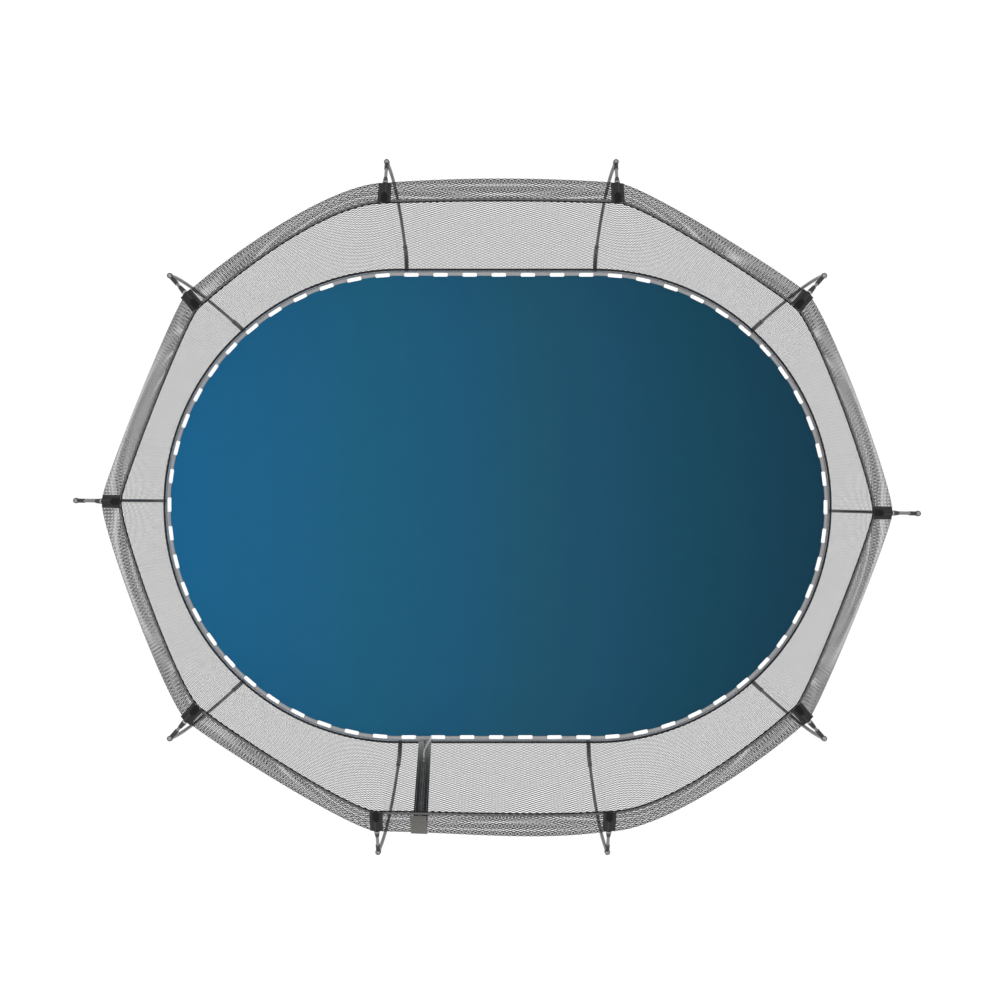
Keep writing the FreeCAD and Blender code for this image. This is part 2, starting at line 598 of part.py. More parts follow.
def sleeve_on_rod(name, shape, distance):
    """A bored sleeve on each upper rod, its far face at a distance before the pocket's mouth."""
    bore = made("Part::Cylinder", name + "_bore", Placement(Vector(0, 0, -1), Rotation()),
                Radius="Sizes.upper_radius + Sizes.seat_gap", Height="2 * Sizes.tip_length")
    sleeve = cut(name, shape, bore)
    return on_poles(name + "s", {kind: sleeve for kind in kinds},
                    lambda line: facing(line["mouth"] - line["rise"] * distance, line["rise"]))


tip_cone = made("Part::Cone", "Tip_cone", Radius2="Sizes.tip_radius", Height="Sizes.tip_length")
tip_cone.setExpression("Radius1", "Sizes.upper_radius + 2")
ring_disc = made("Part::Cylinder", "Tip_ring_disc", Radius="Sizes.tip_ring_radius",
                 Height="Sizes.tip_ring_length")
ring_distance = size("tip_ring_length") + size("seat_gap")
node("pole_tips", sleeve_on_rod("Pole_tip", tip_cone, ring_distance + size("tip_length") + size("seat_gap")))
node("pole_tip_rings", sleeve_on_rod("Pole_tip_ring", ring_disc, ring_distance))

pocket_blocks = {}
for kind in kinds:
    tag = kind.capitalize()
    block = made("Part::Box", f"{tag}_pocket_block", Length="Sizes.pocket_depth",
                 Width="Sizes.pocket_width", Height=f"Sizes.{kind}_pocket")
    block.Placement.Base = Vector(-size("pocket_depth") / 2, -size("pocket_width") / 2, 0)
    bore = made("Part::Cylinder", f"{tag}_pocket_bore", Placement(Vector(0, 0, -1), Rotation()),
                Radius="Sizes.upper_radius + Sizes.rod_clearance", Height=f"Sizes.{kind}_pocket * 0.8 + 2")
    pocket_blocks[kind] = cut(f"{tag}_pocket", block, bore)
node("pole_pockets", on_poles("Pole_pockets", pocket_blocks,
                              lambda line: facing(line["mouth"], line["rise"])))


# ---- net enclosure: a holed wall panel with its leaning top band in each bay ----

def corner_points(station):
    """The wall's foot, fold and top at a station."""
    end, angle, kind = station
    return [plan_point(end, angle, reach, height) for reach, height in (
        (size("net_offset"), mat_top + size("mat_thickness") + size("seat_gap")),
        (size(kind + "_fold"), size("fold_height")),
        (size(kind + "_top"), size("top_height") - size("seat_gap")))]


carries = [size(name + "_carry") for name in ("corner", "end", "next_end", "next_corner", "side")]


def along_edge(station):
    """The direction in which the net leaves a pole's pocket, clockwise along the edge."""
    end, angle, _ = station
    return outwards(facing_angle(end, angle) - 90)


def net_curve(start, stop, number):
    """The net's line over a bay: flat at the pockets, from where it bends over to the next one."""
    first, second = bays[number]
    carry = carries[number % len(carries)]
    curve = Part.BezierCurve()
    curve.setPoles([start, start + along_edge(first) * carry, stop - along_edge(second) * carry, stop])
    return curve.toShape()


def section(name, inner, outer):
    """A closed thin outline between two curves that run the same way."""
    first, last = inner.Vertexes[0].Point, inner.Vertexes[-1].Point
    far_first, far_last = outer.Vertexes[0].Point, outer.Vertexes[-1].Point
    sides = [Part.LineSegment(last, far_last).toShape(), Part.LineSegment(far_first, first).toShape()]
    return feature(name, Part.Wire([inner, sides[0], outer, sides[1]]))


def sideways(start, stop):
    """The net's thickness as a step outwards, square to a line over the bay."""
    along = (stop - start).normalize()
    return Vector(-along.y, along.x, 0) * size("net_thickness")


def straight_section(name, start, stop):
    step = sideways(start, stop)
    return section(name, Part.LineSegment(start, stop).toShape(),
                   Part.LineSegment(start + step, stop + step).toShape())


def bowed_section(name, start, stop, number):
    step = sideways(start, stop)
    return section(name, net_curve(start, stop, number), net_curve(start + step, stop + step, number))


def foot_section(name, start, stop, bay):
    """The foot of a bay round the end of the mat, as two arcs about the end's centre."""
    end, middle_angle = bay[0][0], (bay[0][1] + bay[1][1]) / 2
    reach, thickness, height = size("net_offset"), size("net_thickness"), start.z
    step_first, step_last = (outwards(facing_angle(end, station[1])) * thickness for station in bay)
    middle, far_middle = (plan_point(end, middle_angle, reach + grown, height) for grown in (0, thickness))
    return section(name, Part.Arc(start, middle, stop).toShape(),
                   Part.Arc(start + step_first, far_middle, stop + step_last).toShape())


def blend_point(start, stop, share):
    return start + (stop - start) * share


def net_panel(name, number, columns, low_share=(0, 1), high_share=(0, 1)):
    """A ruled panel over a bay, or over a share of it, with a grid of six-sided holes in its wall."""
    bay = bays[number]
    rows = int(size("net_rows"))
    first, second = (corner_points(station) for station in bay)
    lines_of = [[blend_point(a, b, share[0]), blend_point(a, b, share[1])]
                for a, b, share in zip(first, second, (low_share, high_share, high_share))]
    gap = size("panel_gap") / 2
    for pair in lines_of:
        along = (pair[1] - pair[0]).normalize() * gap
        pair[0], pair[1] = pair[0] + along, pair[1] - along
    if bay[0][0] == bay[1][0]:
        sections = [foot_section(f"{name}_foot", *lines_of[0], bay),
                    bowed_section(f"{name}_fold", *lines_of[1], number),
                    bowed_section(f"{name}_top", *lines_of[2], number)]
    else:
        sections = [straight_section(f"{name}_{level}", *pair)
                    for level, pair in zip(("foot", "fold", "top"), lines_of)]
    loft = doc.addObject("Part::Loft", name + "_sheet")
    loft.Sections = sections
    loft.Solid = True
    loft.Ruled = True
    holes = []
    facing_out = (lines_of[0][1] - lines_of[0][0]).cross(lines_of[1][0] - lines_of[0][0]).normalize()
    border = size("net_hole_border")
    depth = facing_out * (mat_radius / 4)
    for row in range(rows):
        for column in range(columns):
            corners = []
            for across, up in ((0, 0.5), (0.18, 0), (0.82, 0), (1, 0.5), (0.82, 1), (0.18, 1)):
                low = blend_point(*lines_of[0], (column + across) / columns)
                high = blend_point(*lines_of[1], (column + across) / columns)
                corners.append(blend_point(low, high, (row + up) / rows))
            centre = sum(corners, Vector()) / len(corners)
            corners = [point + (centre - point).normalize() * border for point in corners]
            corners = [point - facing_out * facing_out.dot(point - centre) - depth for point in corners]
            outline = Part.makePolygon(corners + corners[:1])
            holes.append(Part.Face(outline).extrude(depth * 2))
    panel = cut(name, loft, feature(name + "_holes", Part.makeCompound(holes)))
    node(name, panel)


columns = int(size("net_columns"))
for number, label in enumerate(("net_right_back", "net_right_end_back", "net_right_end_front",
                                "net_right_front", None, "net_left_front", "net_left_end_front",
                                "net_left_end_back", "net_left_back", "net_back")):
    if label:
        net_panel(label, number, columns)
slit = size("coil_width") / 2 + size("seat_gap")
shares = []
for level, door_x in ((0, size("door_foot")), (1, size("door_head"))):
    right, left = (corner_points(station)[level].x for station in bays[4])
    shares.append([(right - door_x + side * slit) / (right - left) for side in (-1, 1)])
net_panel("net_front_wide", 4, columns - 1, (0, shares[0][0]), (0, shares[1][0]))
net_panel("net_front_narrow", 4, 1, (shares[0][1], 1), (shares[1][1], 1))


# ---- top hem of the net with its piping ----

def top_loop(offset, height):
    """The loop over the net's top edge, moved outwards by offset."""
    corners = [plan_point(end, angle, size(kind + "_top") + offset, height) for end, angle, kind in stations]
    return Part.Wire([net_curve(start, stop, number)
                      for number, (start, stop) in enumerate(zip(corners, corners[1:] + corners[:1]))])


def loop_band(name, outer, inner, low, thickness):
    """A flat band between two loops."""
    face = Part.Face(top_loop(outer, low)).cut(Part.Face(top_loop(inner, low)))
    band = doc.addObject("Part::Extrusion", name)
    band.Base = feature(name + "_face", face)
    band.DirMode = "Custom"
    band.Dir = Vector(0, 0, 1)
    band.Solid = True
    band.setExpression("LengthFwd", thickness)
    return band


hem_inner = -2 * size("seat_gap")
node("net_top_hem", loop_band("Net_top_hem", hem_inner + size("top_hem_width"), hem_inner,
                              size("top_height"), "Sizes.top_hem_thickness"))
piping_outer = hem_inner - size("seat_gap")
node("net_top_piping", loop_band("Net_top_piping", piping_outer, piping_outer - 2 * size("piping_radius"),
                                 size("top_height") - size("piping_radius") / 2, "2 * Sizes.piping_radius"))


# ---- zip door in the front panel ----

wall_foot = Vector(size("door_foot"), -mat_radius - size("net_offset"), corner_points(stations[4])[0].z)
wall_head = Vector(size("door_head"), -mat_radius - size("side_fold"), size("fold_height"))
up_wall = (wall_head - wall_foot).normalize()
inwards = Vector(1, 0, 0).cross(up_wall).normalize() * -1
rightwards = inwards.cross(up_wall)
door = Placement(FreeCAD.Matrix(
    rightwards.x, inwards.x, up_wall.x, wall_foot.x, rightwards.y, inwards.y, up_wall.y, wall_foot.y,
    rightwards.z, inwards.z, up_wall.z, wall_foot.z, 0, 0, 0, 1))
wall_length = (wall_head - wall_foot).Length


def door_box(name, low, high):
    """A block in the door's frame: X to the right, Y inwards from the net, Z up along the slit."""
    block = doc.addObject("Part::Box", name)
    block.Length, block.Width, block.Height = (high[axis] - low[axis] for axis in range(3))
    block.Placement = door * Placement(Vector(*low), Rotation())
    return block


gap = size("seat_gap")
half_coil = size("coil_width") / 2
tape_top = gap + size("tape_thickness")
# the strip leans to the right up the wall, so its square foot starts this far up to clear the foot hem
strip_foot = (half_coil + gap + size("tape_width")) * up_wall.x
for side, label in ((-1, "zip_tape_left"), (1, "zip_tape_right")):
    near, far = half_coil + gap, half_coil + gap + size("tape_width")
    low, high = (near, far) if side == 1 else (-far, -near)
    node(label, door_box(label.capitalize(), (low, gap, strip_foot), (high, tape_top, wall_length)))
coil_top = gap + size("coil_height")
node("zip_coil", door_box("Zip_coil", (-half_coil, gap, size("zip_foot")),
                          (half_coil, coil_top, size("zip_head"))))
node("zip_sill", door_box("Zip_sill", (-half_coil, gap, strip_foot),
                          (half_coil, tape_top, size("zip_foot") - gap)))
stop_high = size("zip_head") + gap + size("coil_width")
node("zip_top_stop", door_box("Zip_top_stop", (-half_coil, gap, size("zip_head") + gap),
                              (half_coil, coil_top + size("tape_thickness"), stop_high)))
slider_foot = size("zip_foot") + size("coil_width")
slider_high = coil_top + gap + size("slider_height")
slider_block = door_box("Slider_block", (-size("slider_width") / 2, coil_top + gap, slider_foot),
                        (size("slider_width") / 2, slider_high, slider_foot + size("slider_length")))
node("zip_slider", slider_block)
pull_head = slider_foot - gap + size("pull_width")
pull_low = slider_high + gap
pull_plate = door_box("Pull_plate", (-size("pull_width") / 2, pull_low, pull_head - size("pull_length")),
                      (size("pull_width") / 2, pull_low + size("pull_thickness"), pull_head))
node("zip_pull_tab", pull_plate)

# the pull cord: chosen points in the door's frame, joined by runs and tangent arcs
cord_points = [(-1, 14, 336), (-2, 13, 290), (0, 12, 245), (3, 11.5, 200), (8, 11.5, 155),
               (14, 12, 112), (20, 14, 74), (26, 20, 44), (31, 29, 24)]
cord_top = (0, pull_low + size("pull_thickness") / 2, pull_head - size("pull_length"))


def cord_wire(points):
    """Straight runs joined by arcs; each arc takes 0.45 of the shorter run beside it."""
    edges, start = [], points[0]
    for before, corner, after in zip(points, points[1:], points[2:]):
        into, out = (corner - before), (after - corner)
        turn = into.getAngle(out)
        tangent = 0.45 * min(into.Length, out.Length)
        radius = tangent / math.tan(turn / 2)
        into, out = into.normalize(), out.normalize()
        towards = (out - into).normalize()
        middle = corner + towards * (radius / math.cos(turn / 2) - radius)
        edges.append(Part.LineSegment(start, corner - into * tangent).toShape())
        start = corner + out * tangent
        edges.append(Part.Arc(corner - into * tangent, middle, start).toShape())
        print(f"pull cord bend radius {radius:.0f} mm")
    edges.append(Part.LineSegment(start, points[-1]).toShape())
    return Part.Wire(edges)


cord_path = cord_wire([door.multVec(Vector(*point)) for point in [cord_top] + cord_points])
pull_cord = swept("Pull_cord", cord_path, "Sizes.cord_radius")
node("zip_pull_cord", pull_cord)

# the patch where the zip strip crosses the band, on the band's outer face
band_rise = lines["side"]["slope"]
patch_length = (corner_points(stations[4])[2] - corner_points(stations[4])[1]).Length - size("top_hem_width")
patch_foot = Vector(size("side_fold"), 0, size("fold_height")) + flat(band_rise) * lines["side"]["band"]
patch_turn = Rotation(Vector(0, 0, 1), band_rise)
patch = made("Part::Box", "Patch", Length="Sizes.tape_thickness", Width="Sizes.patch_width")
patch.Height = patch_length
patch.Placement = (Placement(plan_point(1, -90, 0), Rotation(Vector(0, 0, 1), -90))
                   * Placement(patch_foot, patch_turn)
                   * Placement(Vector(0, size("door_head") - half_straight - size("patch_width") / 2, 0),
                               Rotation()))
node("door_patch", patch)


# ---- check and write ----

doc.recompute()
faults = [thing.Name for thing in doc.Objects if {"Invalid", "Error"} & set(thing.State)]
faults += [label for label, thing in nodes.items() if thing.Shape.isNull() or not thing.Shape.isValid()]
if faults:
    raise SystemExit(f"these objects failed: {faults}")
cord_volume = pull_cord.Shape.Volume / (math.pi * size("cord_radius") ** 2 * cord_path.Length)
print(f"pull cord length {cord_path.Length:.0f} mm, volume against section times length {cord_volume:.3f}")
os.makedirs("parts", exist_ok=True)
for label, thing in nodes.items():
    thing.Shape.exportStep(f"parts/{label}.step")
print(f"{len(nodes)} sub-parts written")
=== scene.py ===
import math
import bmesh
import bpy
import numpy
from mathutils import Matrix, Vector


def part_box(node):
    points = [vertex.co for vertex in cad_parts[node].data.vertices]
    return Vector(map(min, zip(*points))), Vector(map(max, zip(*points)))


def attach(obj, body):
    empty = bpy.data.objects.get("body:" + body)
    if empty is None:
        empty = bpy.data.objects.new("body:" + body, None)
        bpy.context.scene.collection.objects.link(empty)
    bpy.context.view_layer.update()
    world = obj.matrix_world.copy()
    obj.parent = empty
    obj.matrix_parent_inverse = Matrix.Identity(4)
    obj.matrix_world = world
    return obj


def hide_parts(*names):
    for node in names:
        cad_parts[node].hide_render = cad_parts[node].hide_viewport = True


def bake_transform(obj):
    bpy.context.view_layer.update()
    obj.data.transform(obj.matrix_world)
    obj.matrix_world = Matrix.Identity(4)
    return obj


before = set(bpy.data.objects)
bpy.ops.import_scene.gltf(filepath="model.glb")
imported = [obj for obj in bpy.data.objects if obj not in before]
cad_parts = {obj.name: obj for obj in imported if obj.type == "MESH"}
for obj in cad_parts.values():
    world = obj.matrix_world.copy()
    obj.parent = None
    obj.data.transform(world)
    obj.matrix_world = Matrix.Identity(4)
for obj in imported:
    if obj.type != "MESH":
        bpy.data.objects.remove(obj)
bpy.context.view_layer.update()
scene = bpy.context.scene

# Springless oval trampoline seen from straight above: a stretched mat in a tall net enclosure.
# Metres, +Z up, +X along the mat, origin on the ground at the centre.

matHigh = Vector(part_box("jumping_mat")[1])
plan = {"radius": matHigh.y, "straight": matHigh.x - matHigh.y, "top": matHigh.z,
        "diagonal": math.radians(47.6)}
# above "still" the net's walls hold to the poles, below it they stretch with the mat
heights = {"foot": plan["top"] + 0.0043, "fold": 2.475, "top": 2.6137, "still": 1.2}
# how far the net's fold and top, and the poles' tops, lie outside the edge of the mat, how high those
# are, how long each pocket is and how far each kind of pole stands on clockwise along the edge
reaches = {"side": {"fold": 0.200, "top": 0.094, "apex": 0.302, "apexHeight": 2.410, "pocket": 0.100,
                    "shift": 0.017},
           "diagonal": {"fold": 0.048, "top": -0.056, "apex": 0.142, "apexHeight": 2.540, "pocket": 0.072,
                        "shift": 0.0},
           "end": {"fold": 0.008, "top": -0.100, "apex": 0.125, "apexHeight": 2.450, "pocket": 0.080,
                   "shift": 0.026}}
# how far the net runs straight on from a pocket before it bends over to the next, bay by bay
carries = (0.112, 0.123, 0.071, 0.242, 0.150)
netReach = 0.0045
doorBay = 4
quarterTurn = math.pi / 2


def outwards(angle):
    return Vector((math.cos(angle), math.sin(angle), 0))


def facing(end, angle):
    return max(angle, end * quarterTurn - math.pi)


def planPoint(end, angle, reach, height=0.0):
    # past the end of its arc a point runs on along the straight
    turn = facing(end, angle)
    middle = Vector((end * plan["straight"], 0, height))
    ahead = outwards(turn - quarterTurn) * ((turn - angle) * plan["radius"])
    return middle + outwards(turn) * (plan["radius"] + reach) + ahead


turns = [(0, "side"), (quarterTurn - plan["diagonal"], "diagonal"), (quarterTurn, "end"),
         (quarterTurn + plan["diagonal"], "diagonal"), (math.pi, "side")]
stations = [(end, end * quarterTurn - turned - reaches[kind]["shift"] / plan["radius"], kind)
            for end in (1, -1) for turned, kind in turns]
bays = [(stations[number], stations[(number + 1) % len(stations)]) for number in range(len(stations))]


# ---- building helpers ----

def linked(name, data):
    thing = bpy.data.objects.new(name, data)
    scene.collection.objects.link(thing)
    return thing


def newObject(name, vertices, faces, smooth=False):
    mesh = bpy.data.meshes.new(name)
    mesh.from_pydata([tuple(vertex) for vertex in vertices], [], faces)
    mesh.update()
    piece = linked(name, mesh)
    if smooth:
        mesh.shade_smooth()
    return piece


def selectOnly(piece):
    bpy.ops.object.select_all(action="DESELECT")
    piece.select_set(True)
    bpy.context.view_layer.objects.active = piece


def applyModifier(piece, kind, **settings):
    selectOnly(piece)
    modifier = piece.modifiers.new(kind.title(), kind)
    for key, value in settings.items():
        setattr(modifier, key, value)
    bpy.ops.object.modifier_apply(modifier=modifier.name)


def applyTransform(piece):
    selectOnly(piece)
    bpy.ops.object.transform_apply(location=True, rotation=True, scale=True)


def smoothByAngle(piece):
    selectOnly(piece)
    bpy.ops.object.shade_smooth_by_angle(angle=math.radians(35))


def joinedCopies(name, master, matrices):
    mesh = bmesh.new()
    for matrix in matrices:
        copy = master.data.copy()
        copy.transform(matrix)
        mesh.from_mesh(copy)
        bpy.data.meshes.remove(copy)
    piece = newObject(name, [], [])
    mesh.to_mesh(piece.data)
    mesh.free()
    for material in master.data.materials:
        piece.data.materials.append(material)
    bpy.data.objects.remove(master)
    return piece


def standsFor(piece, body, node):
    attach(piece, body)
    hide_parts(node)


# ---- materials: node sockets with arithmetic ----

class Value:
    def __init__(self, tree, socket):
        self.tree = tree
        self.socket = socket

    def maths(self, operation, *others):
        node = self.tree.nodes.new("ShaderNodeMath")
        node.operation = operation
        for slot, value in zip(node.inputs, (self, *others)):
            feed(self.tree, slot, value)
        return Value(self.tree, node.outputs[0])

    def __add__(self, other):
        return self.maths("ADD", other)

    __radd__ = __add__

    def __sub__(self, other):
        return self.maths("SUBTRACT", other)

    def __rsub__(self, other):
        return self * -1 + other

    def __mul__(self, other):
        return self.maths("MULTIPLY", other)

    __rmul__ = __mul__

    def __truediv__(self, other):
        return self.maths("DIVIDE", other)

    def __lt__(self, other):
        return self.maths("LESS_THAN", other)

    def __gt__(self, other):
        return self.maths("GREATER_THAN", other)

    def wave(self, length):
        return (self * (2 * math.pi / length)).maths("SINE")

    def dashes(self, pitch, share):
        return (self / pitch).maths("FRACT") < share

    def near(self, place, reach):
        return (self - place).maths("ABSOLUTE") < reach


def feed(tree, slot, value):
    if isinstance(value, Value):
        tree.links.new(value.socket, slot)
    else:
        slot.default_value = value


class Paint:
    def __init__(self, name, **constants):
        self.material = bpy.data.materials.new(name)
        self.material.use_nodes = True
        self.tree = self.material.node_tree
        self.shader = self.tree.nodes["Principled BSDF"]
        for key, value in constants.items():
            self.shader.inputs[key.replace("_", " ")].default_value = value

    def node(self, kind, output, settings=None, inputs=None):
        node = self.tree.nodes.new(kind)
        for key, value in (settings or {}).items():
            setattr(node, key, value)
        for key, value in (inputs or {}).items():
            feed(self.tree, node.inputs[key], value)
        return Value(self.tree, node.outputs[output])

    def coordinates(self, source="Object"):
        return self.node("ShaderNodeTexCoord", source)

    def axes(self, source="Object"):
        split = self.tree.nodes.new("ShaderNodeSeparateXYZ")
        feed(self.tree, split.inputs[0], self.coordinates(source))
        return [Value(self.tree, split.outputs[axis]) for axis in range(3)]

    def noise(self, scale, detail=2.0, stretch=(1, 1, 1), roughness=0.5):
        place = self.coordinates()
        if stretch != (1, 1, 1):
            place = self.node("ShaderNodeMapping", "Vector", None, {"Vector": place, "Scale": stretch})
        return self.node("ShaderNodeTexNoise", "Fac", None,
                         {"Vector": place, "Scale": scale, "Detail": detail, "Roughness": roughness})

    def ramp(self, value, stops):
        node = self.tree.nodes.new("ShaderNodeValToRGB")
        elements = node.color_ramp.elements
        elements.remove(elements[1])
        elements[0].position, elements[0].color = stops[0]
        for position, colour in stops[1:]:
            elements.new(position).color = colour
        feed(self.tree, node.inputs[0], value)
        return Value(self.tree, node.outputs["Color"])

    def mixed(self, share, first, second):
        return self.node("ShaderNodeMix", 2, {"data_type": "RGBA"}, {0: share, 6: first, 7: second})

    def on(self, piece):
        piece.data.materials.append(self.material)

    def toned(self, colour, value):
        return self.node("ShaderNodeHueSaturation", 0, None, {"Color": colour, "Value": value})

    def colour(self, value):
        feed(self.tree, self.shader.inputs["Base Color"], value)

    def rough(self, value):
        feed(self.tree, self.shader.inputs["Roughness"], value)

    def worn(self, mask, first, second, spread, least):
        # colour and roughness both follow the mask
        self.colour(self.mixed(mask, first, second))
        self.rough(mask * spread + least)

    def bump(self, height, distance):
        normal = self.node("ShaderNodeBump", "Normal", None,
                           {"Height": height, "Distance": distance, "Strength": 1.0})
        feed(self.tree, self.shader.inputs["Normal"], normal)


def rgb(red, green, blue):
    def linear(level):
        share = level / 255
        return share / 12.92 if share < 0.04045 else ((share + 0.055) / 1.055) ** 2.4
    return (linear(red), linear(green), linear(blue), 1.0)


# ---- camera, light and floor ----

world = bpy.data.worlds.new("Studio")
scene.world = world
world.use_nodes = True
studio = world.node_tree
background = studio.nodes["Background"]
background.inputs["Color"].default_value = (1, 1, 1, 1)
lightPath = studio.nodes.new("ShaderNodeLightPath")
seen = Value(studio, lightPath.outputs["Is Camera Ray"])
sky = {"seen": 1.05, "lighting": 1.10}
feed(studio, background.inputs["Strength"], seen * (sky["seen"] - sky["lighting"]) + sky["lighting"])

cameraData = bpy.data.cameras.new("Camera")
cameraData.lens = 70.4
cameraData.sensor_width = 36
camera = linked("Camera", cameraData)
camera.location = (0.013, 0.031, plan["top"] + 10.2)
scene.camera = camera
render = scene.render
render.resolution_x = render.resolution_y = 1000
scene.view_settings.view_transform = "Standard"

for name, place, turn, wide, energy in (("Overhead", (0, 0, 13), (0, 0, 0), 7, 700),
                                        ("Side_fill", (-7, -5, 4), (1.1, 0, -0.95), 4, 60)):
    lampData = bpy.data.lights.new(name, "AREA")
    lampData.size = wide
    lampData.energy = energy
    lamp = linked(name, lampData)
    lamp.location = place
    lamp.rotation_euler = turn

floor = newObject("Floor", [(-9, -9, 0), (9, -9, 0), (9, 9, 0), (-9, 9, 0)], [(0, 1, 2, 3)])
floorPaint = Paint("floor", Roughness=1.0, Base_Color=(0.0, 0.0, 0.0, 1), Emission_Strength=1.02,
                   Emission_Color=(1, 1, 1, 1), Specular_IOR_Level=0.0)
floorPaint.on(floor)
print("camera, light and floor")


# ---- zip pull cord ----

door = {"foot": Vector((-0.378, -plan["radius"] - 0.003, heights["foot"])),
        "up": Vector((0.023555, -0.122116, 0.992236)), "long": 1.6132}
door["up"].normalize()
door["in"] = -Vector((1, 0, 0)).cross(door["up"]).normalized()
door["right"] = door["in"].cross(door["up"])
doorFrame = Matrix((door["right"], door["in"], door["up"])).transposed().to_4x4()
doorFrame.translation = door["foot"]

pullCord = {"radius": 0.004, "length": 0.365,
            "route": [(0, 0.0144, 0.3837), (-0.001, 0.014, 0.336), (-0.002, 0.013, 0.290), (0, 0.012, 0.245),
                      (0.003, 0.0115, 0.200), (0.008, 0.0115, 0.155), (0.014, 0.012, 0.112),
                      (0.020, 0.014, 0.074), (0.026, 0.020, 0.044), (0.031, 0.029, 0.024)]}


def cordCurve(name, points, radius):
    curve = bpy.data.curves.new(name, "CURVE")
    curve.dimensions = "3D"
    curve.bevel_depth = radius
    curve.bevel_resolution = 5
    curve.resolution_u = 12
    curve.use_fill_caps = True
    spline = curve.splines.new("NURBS")
    spline.points.add(len(points) - 1)
    for spot, point in zip(spline.points, points):
        spot.co = (*point, 1)
    spline.order_u = 3
    spline.use_endpoint_u = True
    return linked(name, curve)


cordRoute = [doorFrame @ Vector(point) for point in pullCord["route"]]
pullCordPiece = cordCurve("Zip_pull_cord", cordRoute, pullCord["radius"])
cordPaint = Paint("pull_cord", Roughness=0.7, Specular_IOR_Level=0.3)
braid = cordPaint.node("ShaderNodeTexWave", "Fac", {"wave_type": "BANDS", "bands_direction": "DIAGONAL"},
                       {"Vector": cordPaint.coordinates(), "Scale": 160.0, "Distortion": 1.5})
cordPaint.colour(cordPaint.mixed(braid, rgb(176, 176, 176), rgb(222, 222, 220)))
cordPaint.bump(braid, 0.0006)
cordPaint.on(pullCordPiece)
standsFor(pullCordPiece, "zip", "zip_pull_cord")
print("pull cord")


# ---- jumping mat: one stretched sheet with a sewn edge ----

edgeLength = 4 * plan["straight"] + 2 * math.pi * plan["radius"]


def edgePoint(length, reach, height):
    # clockwise from the middle of the back; returns the point and its outward angle
    quarter = plan["straight"] + plan["radius"] * quarterTurn
    length %= 4 * quarter
    flip = length >= 2 * quarter
    along = length - 2 * quarter if flip else length
    if along < plan["straight"]:
        point, angle = Vector((along, plan["radius"] + reach, height)), quarterTurn
    elif along > 2 * quarter - plan["straight"]:
        point, angle = Vector((2 * quarter - along, -plan["radius"] - reach, height)), -quarterTurn
    else:
        angle = quarterTurn - (along - plan["straight"]) / plan["radius"]
        point = planPoint(1, angle, reach, height)
    if flip:
        point, angle = Vector((-point.x, -point.y, height)), angle + math.pi
    return point, angle


def paintedLoft(name, sections, marks, closedAlong=False):
    # joins rows of points into a skin; marks give each point its UV, in metres along and across
    rows, wide = len(sections), len(sections[0])
    vertices = [point for section in sections for point in section]
    faces, corners = [], []
    for row in range(rows if closedAlong else rows - 1):
        for spot in range(wide):
            ring = ((row, spot), (row, spot + 1), (row + 1, spot + 1), (row + 1, spot))
            faces.append(tuple(where % rows * wide + side % wide for where, side in ring))
            corners += [(marks[0][where], marks[1][side]) for where, side in ring]
    if not closedAlong:
        for row, order in ((0, range(wide - 1, -1, -1)), (rows - 1, range(wide))):
            faces.append(tuple(row * wide + spot for spot in order))
            corners += [(marks[0][row], marks[1][spot]) for spot in order]
    piece = newObject(name, vertices, faces, smooth=True)
    layer = piece.data.uv_layers.new(name="Edge")
    layer.data.foreach_set("uv", [value for corner in corners for value in corner])
    return piece


def runOf(points):
    # lengths from the first point to each, and back round to it
    total = [0.0]
    for first, second in zip(points, [*points[1:], points[0]]):
        total.append(total[-1] + math.dist(first, second))
    return total


def loopedMesh(name, loops):
    # equally long closed loops of points become one closed band round the object
    steps = len(loops[0])
    sections = [[loop[step] for loop in loops] for step in range(steps)]
    return paintedLoft(name, sections, (runOf(list(loops[0])), runOf(sections[0])), closedAlong=True)


def edgeLoop(steps, reach, height):
    return [edgePoint(edgeLength * step / steps, reach, height)[0] for step in range(steps)]


def ringMesh(name, section):
    # sweeps a section of (reach, height) pairs round the edge of the mat
    return loopedMesh(name, [edgeLoop(480, reach, height) for reach, height in section])


def matMesh():
    # a closed thin sheet: rings of points from the edge inwards on both faces
    steps = 360
    top, thick = plan["top"], 0.0022
    insets = [0.0, 0.002, 0.006, 0.014, 0.024, 0.04, 0.07, 0.12, 0.2, 0.34, 0.52, 0.72, 0.92, 1.08, 1.18]
    rounding = [0.0011, 0.0003] + [0.0] * (len(insets) - 2)
    vertices, faces = [], []
    for sign in (1, -1):
        for inset, fall in zip(insets, rounding):
            height = top - thick / 2 + sign * (thick / 2 - fall)
            vertices += edgeLoop(steps, -inset, height)
    rings = len(insets)
    for side in range(2):
        base = side * rings * steps
        for ring in range(rings - 1):
            for step in range(steps):
                ahead = (step + 1) % steps
                low, high = base + ring * steps, base + (ring + 1) * steps
                face = (low + step, low + ahead, high + ahead, high + step)
                faces.append(face if side else face[::-1])
        inner = [base + (rings - 1) * steps + step for step in range(steps)]
        faces.append(inner if side else inner[::-1])
    for step in range(steps):
        ahead = (step + 1) % steps
        faces.append((step, ahead, rings * steps + ahead, rings * steps + step))
    return newObject("Jumping_mat", vertices, faces, smooth=True)


